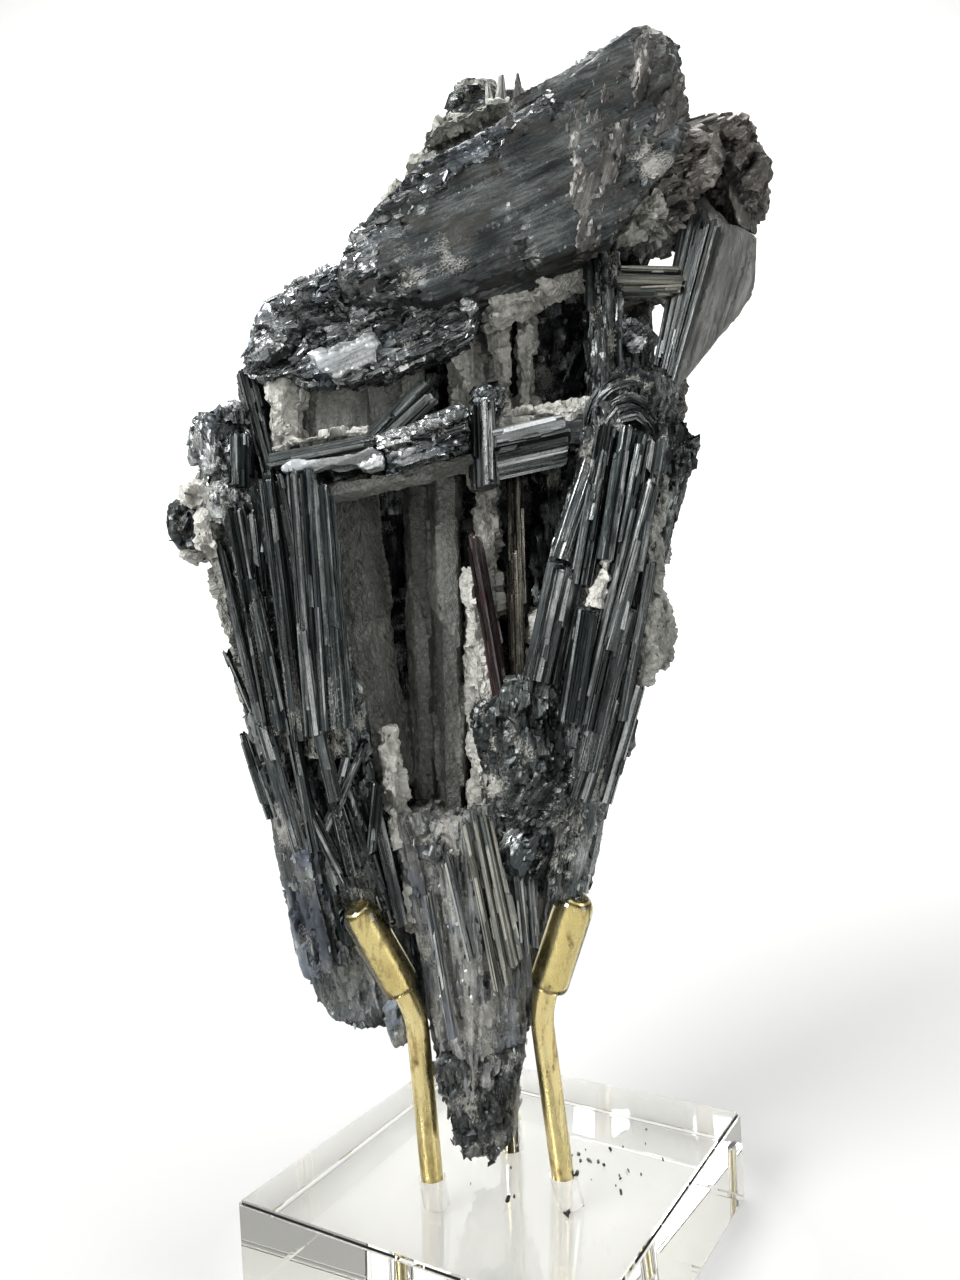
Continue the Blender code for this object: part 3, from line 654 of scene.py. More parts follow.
def blade_rings(blade, rng):
    foot, axes, length = blade_frame(blade)
    stations = ((0, 1.0), (1, blade.flare))
    if blade.rough:
        stations = ((0, 0.7), (0.18, 1.0), (0.8, blade.flare), (1, 0.7 * blade.flare))
    slant = rng.uniform(-0.4, 0.4)
    rings = []
    for place, size in stations:
        flat = np.array(SECTION) * (blade.width, blade.depth) * size
        flat *= rng.uniform(1 - 0.12 * blade.rough - 0.04, 1.04, (len(SECTION), 1))
        z = place * length + slant * flat[:, 0] * place
        rings.append(foot + np.column_stack((flat, z)) @ axes)
    return rings


def add_lump(bm, lump, rng):
    made = bmesh.ops.create_icosphere(bm, subdivisions=3, radius=1.0)
    points = np.array([vert.co for vert in made["verts"]])
    swell = 0.97 + 0.1 * soft_noise(points * 1.7 + rng.uniform(0, 90, 3), 5)
    for vert, k in zip(made["verts"], swell):
        axes = zip(lump.centre, lump.radii, vert.co)
        vert.co = Vector(c + r * k * squared(v, LUMP_SQUARENESS) for c, r, v in axes)


def add_hull(bm, hull):
    made = bmesh.ops.convex_hull(bm, input=[bm.verts.new(point) for point in hull.points])
    loose = [item for item in made["geom_interior"] if isinstance(item, bmesh.types.BMVert)]
    bmesh.ops.delete(bm, geom=loose, context="VERTS")


def rough_shell(bm, source, rng):
    """One closed shell for a blade, a lump, a plate, a hull or the core."""
    if isinstance(source, Lump):
        add_lump(bm, source, rng)
    elif isinstance(source, Hull):
        add_hull(bm, source)
    elif isinstance(source, Plate):
        bridge(bm, plate_rings(source))
    elif isinstance(source, Blade):
        bridge(bm, blade_rings(source, rng))
    else:
        bridge(bm, core_rings())


def fused(sources, voxel, rng):
    """The sources as one skin of small squares: points, normals and faces, in millimetres."""
    bm = bmesh.new()
    for source in sources:
        rough_shell(bm, source, rng)
    bmesh.ops.recalc_face_normals(bm, faces=bm.faces)
    mesh = bpy.data.meshes.new("shells")
    bm.to_mesh(mesh)
    bm.free()
    helper = placed("shells", mesh)
    remesh = helper.modifiers.new("Remesh", "REMESH")
    remesh.mode = "VOXEL"
    remesh.voxel_size = voxel
    solid = evaluated_mesh(helper)
    points = read(solid.vertices, "co", 3).astype(float)
    normals = read(solid.vertex_normals, "vector", 3).astype(float)
    loops = read(solid.loops, "vertex_index", kind=np.int32)
    sizes = read(solid.polygons, "loop_total", kind=np.int32)
    starts = read(solid.polygons, "loop_start", kind=np.int32)
    faces = []
    for size in (3, 4):
        chosen = starts[sizes == size]
        if len(chosen):
            faces.append(loops[chosen[:, None] + np.arange(size)])
    bpy.data.objects.remove(helper)
    bpy.data.meshes.remove(mesh)
    bpy.data.meshes.remove(solid)
    return points, normals, faces


def axes_towards(direction):
    along = unit(np.array(direction, float))
    across = unit(np.cross((0, 1, 0), along))
    return np.array((across, np.cross(along, across), along))


def source_frames(source, lean):
    """Where a source's grain starts, and the grain's axes."""
    if isinstance(source, Blade):
        foot, axes, _ = blade_frame(source)
        return foot, axes
    if isinstance(source, Lump):
        return np.array(source.centre, float), axes_towards(lean)
    if isinstance(source, Hull):
        return np.array(source.points[0], float), axes_towards(source.along)
    return np.zeros(3), axes_towards(lean)


def hull_planes(source):
    """The outward planes of a hull's faces, as normals and distances."""
    bm = bmesh.new()
    bmesh.ops.convex_hull(bm, input=[bm.verts.new(point) for point in source.points])
    bmesh.ops.recalc_face_normals(bm, faces=bm.faces)
    planes = np.array([(*face.normal, face.normal.dot(face.calc_center_median())) for face in bm.faces])
    bm.free()
    return planes


def closeness(points, source):
    """About 1 on a source's surface, and less inside it."""
    if isinstance(source, Lump):
        return np.linalg.norm((points - source.centre) / np.array(source.radii), axis=1)
    if isinstance(source, Blade):
        foot, axes, length = blade_frame(source)
        local = (points - foot) @ axes.T
        sides = np.abs(local[:, :2]) / (source.width / 2, source.depth / 2)
        return np.maximum(sides.max(axis=1), np.abs(local[:, 2] / length - 0.5) * 2)
    if isinstance(source, Plate):
        low, high = np.min(source.outline, axis=0), np.max(source.outline, axis=0)
        box_low = np.array((low[0], source.front, low[1]))
        box_high = np.array((high[0], source.front + source.thickness, high[1]))
        return (np.abs(points - (box_low + box_high) / 2) / ((box_high - box_low) / 2)).max(axis=1)
    if isinstance(source, Hull):
        planes = hull_planes(source)
        return 1 + (points @ planes[:, :3].T - planes[:, 3]).max(axis=1) / 3
    return np.full(len(points), 1.2)


def layered(local, style):
    """Height and greatest depth of a style's cells at each point."""
    height = np.zeros(len(local))
    for n, layer in enumerate(style):
        level, centre = facets(local / (layer.across, layer.across, layer.along), 17 * n + 3)
        if layer.kind == "dome":
            level = 1 - 2.2 * centre
        height += layer.depth * level
    depth = sum(layer.depth for layer in style)
    return height - 0.35 * depth, depth


def zoned(points, zones):
    """From 0 to 1 inside round patches given as x, z, radius and amount."""
    most = np.zeros(len(points))
    ragged = 0.4 * soft_noise(points * 0.5, 10) + 0.25 * soft_noise(points * 1.4, 14)
    for x, z, radius, amount in zones:
        away = np.hypot(points[:, 0] - x, points[:, 2] - z) / radius
        most = np.maximum(most, amount * np.clip(2.2 * (1 - away + ragged), 0, 1))
    return most


def brokenness(points, sources, owner):
    """How hackly the rock is at each point: clean crystal faces are nearly flat but for some patches."""
    wild = np.ones(len(points))
    for n, source in enumerate(sources):
        if getattr(source, "name", "core") in CALM:
            wild[owner == n] = 0.0
    patch = np.clip(3 * (soft_noise(points * 0.13, 8) + 0.5 * soft_noise(points * 0.5, 9) - 0.8), 0, 1)
    patch = np.maximum(patch, zoned(points, BROKEN))
    return np.maximum(wild, patch)


def rough_rock(rock, sources, rng):
    """Fused sources, broken up by facets stretched along each one's own grain."""
    points, normals, faces = fused(sources, rock.voxel, rng)
    near = np.stack([closeness(points, source) for source in sources])
    owner = near.argmin(axis=0)
    local = np.zeros_like(points)
    axes_by_point = np.zeros((len(points), 3, 3))
    for n, source in enumerate(sources):
        mine = owner == n
        start, axes = source_frames(source, rock.lean)
        local[mine] = (points[mine] - start) @ axes.T + n * 37.0
        axes_by_point[mine] = axes
    rough, depth = layered(local, rock.style)
    lined, _ = layered(local, CHANNELLED)
    lined += 0.2 * soft_noise(local * (0.3, 0.3, 0.08), 11)
    rugged = brokenness(points, sources, owner)
    height = rough * rugged + lined * (1 - rugged)
    moved = points + normals * np.clip(height, -1.6 * depth, 0.5)[:, None]
    # relief: how high each point stands. The materials paint shade into the low points with it and a little
    # light onto the high ones; the dust also gathers in the low points
    relief = np.clip(0.62 + 0.5 * height / (depth + 1e-6), 0, 1)
    tone = 0.5 + 0.35 * soft_noise(points * 0.25, 4) + 0.25 * soft_noise(local * (1.2, 1.2, 0.1), 6)
    tone = np.clip(tone, 0, 1)
    coat = rock.coat + 0.35 * soft_noise(points * 0.2, 21) + 0.3 * soft_noise(points * 0.8, 22)
    coat += 0.4 * (0.6 - relief) + zoned(points, COATS)
    return Surface(moved, normals, faces, local, tone, relief, coat, axes_by_point, rugged)


CHIP_LENGTH = (0.14, 0.5)
CHIP_PROUD = 0.12
CHIP_SPREAD = 24


def scatter_chips(soup, rock, rng, count):
    """Small splinters on rough rock, lying along its grain."""
    chosen = np.flatnonzero(rock.rugged > 0.6)
    if not len(chosen):
        return
    for at in rng.choice(chosen, count):
        normal = rock.normals[at]
        grain = rock.axes[at][2]
        along = grain - normal * (grain @ normal)
        if np.linalg.norm(along) < 0.2:
            along = np.cross(normal, (0.3, 0.5, 0.8))
        along = unit(along)
        lie = np.array((np.cross(normal, along), normal, along))
        lie = tilted(lie, rng, CHIP_SPREAD, CHIP_SPREAD * 1.5)
        length = rng.uniform(*CHIP_LENGTH) * (1 + rng.exponential(0.4))
        half = np.array((length * rng.uniform(0.25, 0.6), length * rng.uniform(0.12, 0.3), length))
        centre = rock.points[at] + normal * (rng.uniform(-0.1, CHIP_PROUD) - half[1] * 0.3)
        add_shard(soup, centre, lie, half, rng, rng.random())


# ---------------------------------------------------------------- materials


class Tree:
    """A node material being built, with short calls for the nodes used here."""

    def __init__(self, name):
        self.material = bpy.data.materials.new(name)
        self.material.use_nodes = True
        self.tree = self.material.node_tree
        self.shader = self.tree.nodes["Principled BSDF"]

    def node(self, kind, **values):
        made = self.tree.nodes.new(kind)
        for key, value in values.items():
            setattr(made, key, value)
        return made

    def link(self, value, socket):
        if isinstance(value, bpy.types.NodeSocket):
            self.tree.links.new(value, socket)
        else:
            socket.default_value = value

    def attribute(self, name):
        made = self.node("ShaderNodeAttribute", attribute_name=name)
        return made.outputs["Vector"] if name == "grain" else made.outputs["Fac"]

    def scaled(self, vector, scale):
        made = self.node("ShaderNodeVectorMath", operation="MULTIPLY")
        self.link(vector, made.inputs[0])
        made.inputs[1].default_value = scale
        return made.outputs[0]

    def noise(self, vector, scale=(1, 1, 1), detail=2.0, rough=0.55, bend=0.0):
        made = self.node("ShaderNodeTexNoise")
        self.link(self.scaled(vector, scale), made.inputs["Vector"])
        made.inputs["Scale"].default_value = 1.0
        made.inputs["Detail"].default_value = detail
        made.inputs["Roughness"].default_value = rough
        made.inputs["Distortion"].default_value = bend
        return made.outputs["Fac"]

    def cells(self, vector, scale):
        made = self.node("ShaderNodeTexVoronoi")
        self.link(self.scaled(vector, scale), made.inputs["Vector"])
        made.inputs["Scale"].default_value = 1.0
        return made.outputs["Distance"]

    def maths(self, operation, a, b, c=0.0):
        made = self.node("ShaderNodeMath", operation=operation)
        for value, socket in zip((a, b, c), made.inputs):
            self.link(value, socket)
        return made.outputs[0]

    def spread(self, value, low, high, out_low=0.0, out_high=1.0):
        made = self.node("ShaderNodeMapRange")
        for given, socket in zip((value, low, high, out_low, out_high), made.inputs):
            self.link(given, socket)
        return made.outputs[0]

    def mixed(self, share, a, b, blend="MIX"):
        made = self.node("ShaderNodeMix", data_type="RGBA", blend_type=blend)
        self.link(share, made.inputs["Factor"])
        self.link(a, made.inputs["A"])
        self.link(b, made.inputs["B"])
        return made.outputs["Result"]

    def ramp(self, value, stops):
        made = self.node("ShaderNodeValToRGB")
        self.link(value, made.inputs["Fac"])
        while len(made.color_ramp.elements) < len(stops):
            made.color_ramp.elements.new(0.5)
        for element, (place, colour) in zip(made.color_ramp.elements, stops):
            element.position = place
            element.color = (*colour, 1)
        return made.outputs["Color"]

    def bump(self, height, distance, strength=1.0):
        made = self.node("ShaderNodeBump")
        self.link(height, made.inputs["Height"])
        made.inputs["Distance"].default_value = distance * MM
        made.inputs["Strength"].default_value = strength
        return made.outputs["Normal"]

    def finish(self, colour, roughness, metallic, normal, specular=0.5):
        self.link(colour, self.shader.inputs["Base Color"])
        self.link(roughness, self.shader.inputs["Roughness"])
        self.link(metallic, self.shader.inputs["Metallic"])
        self.link(normal, self.shader.inputs["Normal"])
        self.shader.inputs["Specular IOR Level"].default_value = specular
        return self.material


Finish = namedtuple("Finish", "dark body light stain share metallic rough shine streak grit")
# Colours from dark to light stripe and fleck, a stain and how much of the surface it takes, metal share,
# roughness, how much smoother the bright flecks are, striation depth and grain depth.
FINISHES = {
    "slate": Finish(
        (0.016, 0.019, 0.019), (0.05, 0.056, 0.056), (0.175, 0.188, 0.184), (0.045, 0.042, 0.037),
        0.38, 0.72, 0.4, 0.18, 0.35, 0.7,
    ),
    "peak": Finish(
        (0.018, 0.0175, 0.016), (0.06, 0.0585, 0.054), (0.19, 0.186, 0.174), (0.042, 0.04, 0.036),
        0.38, 0.6, 0.42, 0.16, 0.4, 0.7,
    ),
    # Painted highlight in part: a lighter copy of the stibnite whose lightest flecks are near white, for
    # hackly rock that catches the lamps
    "glitter": Finish(
        (0.018, 0.02, 0.021), (0.2, 0.214, 0.216), (0.88, 0.9, 0.89), (0.09, 0.108, 0.125),
        0.3, 0.9, 0.26, 0.15, 0.3, 0.3,
    ),
    "dark": Finish(
        (0.012, 0.013, 0.013), (0.055, 0.06, 0.058), (0.26, 0.27, 0.265), (0.035, 0.04, 0.045),
        0.4, 0.85, 0.32, 0.14, 0.5, 0.4,
    ),
    "teal": Finish(
        (0.006, 0.009, 0.009), (0.036, 0.044, 0.043), (0.3, 0.32, 0.315), (0.018, 0.021, 0.021),
        0.4, 0.88, 0.34, 0.12, 0.6, 0.25,
    ),
    "steel": Finish(
        (0.012, 0.014, 0.014), (0.072, 0.08, 0.078), (0.42, 0.445, 0.435), (0.042, 0.05, 0.053),
        0.4, 0.86, 0.33, 0.13, 0.6, 0.3,
    ),
    "mixed": Finish(
        (0.01, 0.012, 0.012), (0.055, 0.062, 0.06), (0.34, 0.36, 0.352), (0.032, 0.04, 0.045),
        0.4, 0.84, 0.34, 0.13, 0.6, 0.4,
    ),
    "blue": Finish(
        (0.03, 0.034, 0.034), (0.185, 0.2, 0.195), (0.46, 0.48, 0.47), (0.09, 0.11, 0.15),
        0.38, 0.58, 0.4, 0.14, 0.7, 0.6,
    ),
    "wedge": Finish(
        (0.04, 0.042, 0.04), (0.235, 0.24, 0.228), (0.54, 0.545, 0.52), (0.12, 0.135, 0.16),
        0.42, 0.5, 0.42, 0.14, 0.7, 0.6,
    ),
    # Painted reflection: a much lighter copy of the stibnite, for faces and a band that mirror the lamps
    "bright": Finish(
        (0.2, 0.21, 0.21), (0.52, 0.545, 0.545), (0.82, 0.84, 0.84), (0.36, 0.39, 0.4),
        0.35, 0.6, 0.32, 0.12, 0.2, 0.4,
    ),
    "wing": Finish(
        (0.03, 0.031, 0.028), (0.1, 0.102, 0.094), (0.21, 0.213, 0.195), (0.13, 0.133, 0.124),
        0.45, 0.45, 0.4, 0.1, 0.7, 0.4,
    ),
    "umber": Finish(
        (0.018, 0.016, 0.013), (0.075, 0.069, 0.059), (0.27, 0.256, 0.23), (0.04, 0.037, 0.032),
        0.4, 0.5, 0.42, 0.14, 0.8, 0.8,
    ),
    "bronze": Finish(
        (0.01, 0.009, 0.007), (0.06, 0.054, 0.042), (0.42, 0.4, 0.34), (0.03, 0.029, 0.026),
        0.4, 0.88, 0.28, 0.1, 0.8, 0.2,
    ),
    "red": Finish(
        (0.01, 0.009, 0.009), (0.045, 0.037, 0.037), (0.22, 0.2, 0.195), (0.06, 0.027, 0.028),
        0.45, 0.85, 0.34, 0.1, 0.9, 0.3,
    ),
    "tan": Finish(
        (0.035, 0.034, 0.028), (0.16, 0.158, 0.135), (0.42, 0.415, 0.36), (0.1, 0.118, 0.115),
        0.4, 0.55, 0.34, 0.1, 0.7, 0.3,
    ),
}
# How quickly the lines break along the grain, where they are short
LINE_RUN = {"slate": 0.3, "umber": 0.2, "wedge": 0.16, "blue": 0.18}
# Quartz druse and coatings: dark (also the painted shade of low points and pits), body, light, stain, share
# of stain, roughness, grain depth.
Druse = namedtuple("Druse", "dark body light stain share rough grit")
DRUSES = {
    "grey_coat": Druse(
        (0.022, 0.022, 0.018), (0.125, 0.129, 0.115), (0.3, 0.305, 0.275), (0.07, 0.07, 0.06),
        0.4, 0.5, 0.9,
    ),
    "pale": Druse(
        (0.09, 0.088, 0.077), (0.42, 0.415, 0.378), (0.7, 0.695, 0.65), (0.22, 0.21, 0.18),
        0.4, 0.5, 0.9,
    ),
    "green": Druse(
        (0.06, 0.06, 0.05), (0.29, 0.295, 0.26), (0.58, 0.585, 0.53), (0.17, 0.165, 0.14),
        0.45, 0.5, 0.9,
    ),
    "side": Druse(
        (0.03, 0.03, 0.025), (0.18, 0.18, 0.16), (0.44, 0.44, 0.4), (0.085, 0.08, 0.068),
        0.45, 0.5, 0.9,
    ),
}


def powder_colour(t, grain, specks):
    """The pale quartz dust that lies on metal faces."""
    cloud = t.noise(grain, (0.5, 0.5, 0.3), 4.0, 0.65, 0.4)
    value = t.maths("MULTIPLY_ADD", specks, 0.35, t.maths("MULTIPLY", cloud, 0.7))
    return t.ramp(value, (
        (0.3, (0.075, 0.074, 0.066)), (0.5, (0.19, 0.187, 0.168)), (0.72, (0.4, 0.395, 0.36)),
    ))


def metal_stone(name):
    f = FINISHES[name]
    t = Tree("stibnite_" + name)
    grain = t.attribute("grain")
    lines = t.noise(grain, (2.1, 2.1, LINE_RUN.get(name, 0.1)), 3.0, 0.65, 0.15)
    hairs = t.noise(grain, (7.5, 7.5, 0.3), 2.0, 0.6)
    patches = t.noise(grain, (0.22, 0.22, 0.12), 4.0, 0.6, 0.6)
    specks = t.noise(grain, (5.5, 5.5, 3.0), 2.0, 0.7)
    tone = t.attribute("tone")
    relief = t.attribute("relief")
    value = t.maths("MULTIPLY_ADD", lines, 0.62, t.maths("MULTIPLY", hairs, 0.38))
    # tone is random tone, and on the prisms it also carries the painted glint strips
    value = t.maths("MULTIPLY_ADD", t.maths("SUBTRACT", tone, 0.5), 0.46, value)
    value = t.maths("MULTIPLY_ADD", t.maths("SUBTRACT", specks, 0.5), 0.3, value)
    colour = t.ramp(value, ((0.3, f.dark), (0.5, f.body), (0.8, f.light)))
    stained = t.spread(patches, 0.62 - f.share * 0.35, 0.74 - f.share * 0.3)
    colour = t.mixed(t.maths("MULTIPLY", stained, 0.75), colour, (*f.stain, 1))
    # Painted shade: the colour is darkened to a quarter in the low points of the relief, and a little
    # painted light lifts it on the high points
    relief_shade = t.spread(relief, 0.15, 0.75, 0.25, 1.15)
    colour = t.mixed(1.0, colour, t.ramp(relief_shade, ((0.0, (0, 0, 0)), (1.0, (1, 1, 1)))), "MULTIPLY")
    rough = t.maths("MULTIPLY_ADD", specks, 0.5, t.maths("MULTIPLY", patches, 0.5))
    rough = t.spread(rough, 0.3, 0.7, f.rough - f.shine, f.rough + 0.14)
    dusty = t.maths("MULTIPLY_ADD", t.maths("SUBTRACT", specks, 0.5), 0.9, t.attribute("coat"))
    dust = t.spread(dusty, 0.4, 0.62)
    colour = t.mixed(t.maths("MULTIPLY", dust, 0.9), colour, powder_colour(t, grain, specks))
    rough = t.maths("MULTIPLY_ADD", dust, 0.22, rough)
    metallic = t.maths("MULTIPLY_ADD", dust, -f.metallic, f.metallic)
    height = t.maths("MULTIPLY_ADD", hairs, 0.5, lines)
    height = t.maths("MULTIPLY_ADD", specks, 0.45 * f.grit, t.maths("MULTIPLY", height, f.streak))
    height = t.maths("MULTIPLY_ADD", dust, 0.3, height)
    return t.finish(colour, rough, metallic, t.bump(height, 0.16))


def druse_stone(name):
    f = DRUSES[name]
    t = Tree("druse_" + name)
    grain = t.attribute("grain")
    grains = t.cells(grain, (1.7, 1.7, 1.5))
    fine = t.cells(grain, (4.2, 4.2, 3.6))
    cloud = t.noise(grain, (0.3, 0.3, 0.16), 5.0, 0.62, 0.4)
    dirt = t.noise(grain, (0.9, 0.9, 0.45), 4.0, 0.65, 0.8)
    specks = t.noise(grain, (6.0, 6.0, 5.0), 2.0, 0.7)
    relief = t.attribute("relief")
    value = t.maths("MULTIPLY_ADD", cloud, 0.5, t.maths("MULTIPLY", specks, 0.25))
    value = t.maths("MULTIPLY_ADD", t.maths("SUBTRACT", 0.6, grains), 0.22, value)
    # Painted shade: low points of the relief are pushed towards the dark colour, high points towards the
    # light one
    value = t.maths("MULTIPLY_ADD", relief, 0.3, value)
    colour = t.ramp(value, ((0.25, f.dark), (0.55, f.body), (0.86, f.light)))
    stained = t.spread(dirt, 0.66 - f.share * 0.25, 0.76 - f.share * 0.2)
    colour = t.mixed(t.maths("MULTIPLY", stained, 0.7), colour, (*f.stain, 1))
    # Painted shade: sparse spots of the dark colour stand in for the shade in pits that the shape does not
    # have
    pit_shade = t.spread(t.noise(grain, (1.3, 1.3, 0.7), 2.0, 0.5, 0.3), 0.27, 0.33)
    colour = t.mixed(pit_shade, (*f.dark, 1), colour)
    rough = t.spread(specks, 0.3, 0.7, f.rough - 0.14, f.rough + 0.16)
    height = t.maths("MULTIPLY_ADD", fine, -0.5, t.maths("MULTIPLY", grains, -0.8))
    height = t.maths("MULTIPLY_ADD", specks, 0.3, t.maths("MULTIPLY", height, f.grit))
    return t.finish(colour, rough, 0.0, t.bump(height, 0.28), 0.55)


def brass():
    t = Tree("aged_brass")
    place = t.node("ShaderNodeTexCoord").outputs["Object"]
    broad = t.noise(place, (90, 90, 40), 3.0, 0.6, 0.5)
    streaks = t.noise(place, (900, 900, 60), 3.0, 0.6)
    spots = t.noise(place, (420, 420, 300), 4.0, 0.7)
    colour = t.ramp(broad, ((0.3, (0.6, 0.48, 0.2)), (0.5, (0.77, 0.65, 0.32)), (0.75, (0.85, 0.77, 0.46))))
    stain = t.spread(t.maths("MULTIPLY", streaks, spots), 0.27, 0.36)
    colour = t.mixed(t.maths("MULTIPLY", stain, 0.65), colour, (0.24, 0.15, 0.05, 1))
    dots = t.spread(spots, 0.63, 0.7)
    colour = t.mixed(t.maths("MULTIPLY", dots, 0.7), colour, (0.12, 0.08, 0.03, 1))
    rough = t.spread(t.maths("ADD", streaks, t.maths("MULTIPLY", spots, 0.6)), 0.5, 1.1, 0.16, 0.42)
    height = t.maths("MULTIPLY_ADD", spots, 0.5, streaks)
    return t.finish(colour, rough, 1.0, t.bump(height, 0.04, 0.6))


def clear(name, ior, tint, depth, density, scratch):
    t = Tree(name)
    place = t.node("ShaderNodeTexCoord").outputs["Object"]
    haze = t.noise(place, (160, 160, 160), 4.0, 0.65)
    marks = t.noise(place, (900, 60, 300), 2.0, 0.6, 0.5)
    rough = t.spread(haze, 0.4, 0.75, 0.0, scratch)
    t.shader.inputs["Transmission Weight"].default_value = 1.0
    t.shader.inputs["IOR"].default_value = ior
    t.shader.inputs["Base Color"].default_value = (*tint, 1)
    t.link(rough, t.shader.inputs["Roughness"])
    t.link(t.bump(marks, 0.01, 0.04), t.shader.inputs["Normal"])
    absorb = t.node("ShaderNodeVolumeAbsorption")
    absorb.inputs["Color"].default_value = (*depth, 1)
    absorb.inputs["Density"].default_value = density
    t.tree.links.new(absorb.outputs[0], t.tree.nodes["Material Output"].inputs["Volume"])
    return t.material


# ---------------------------------------------------------------- the specimen

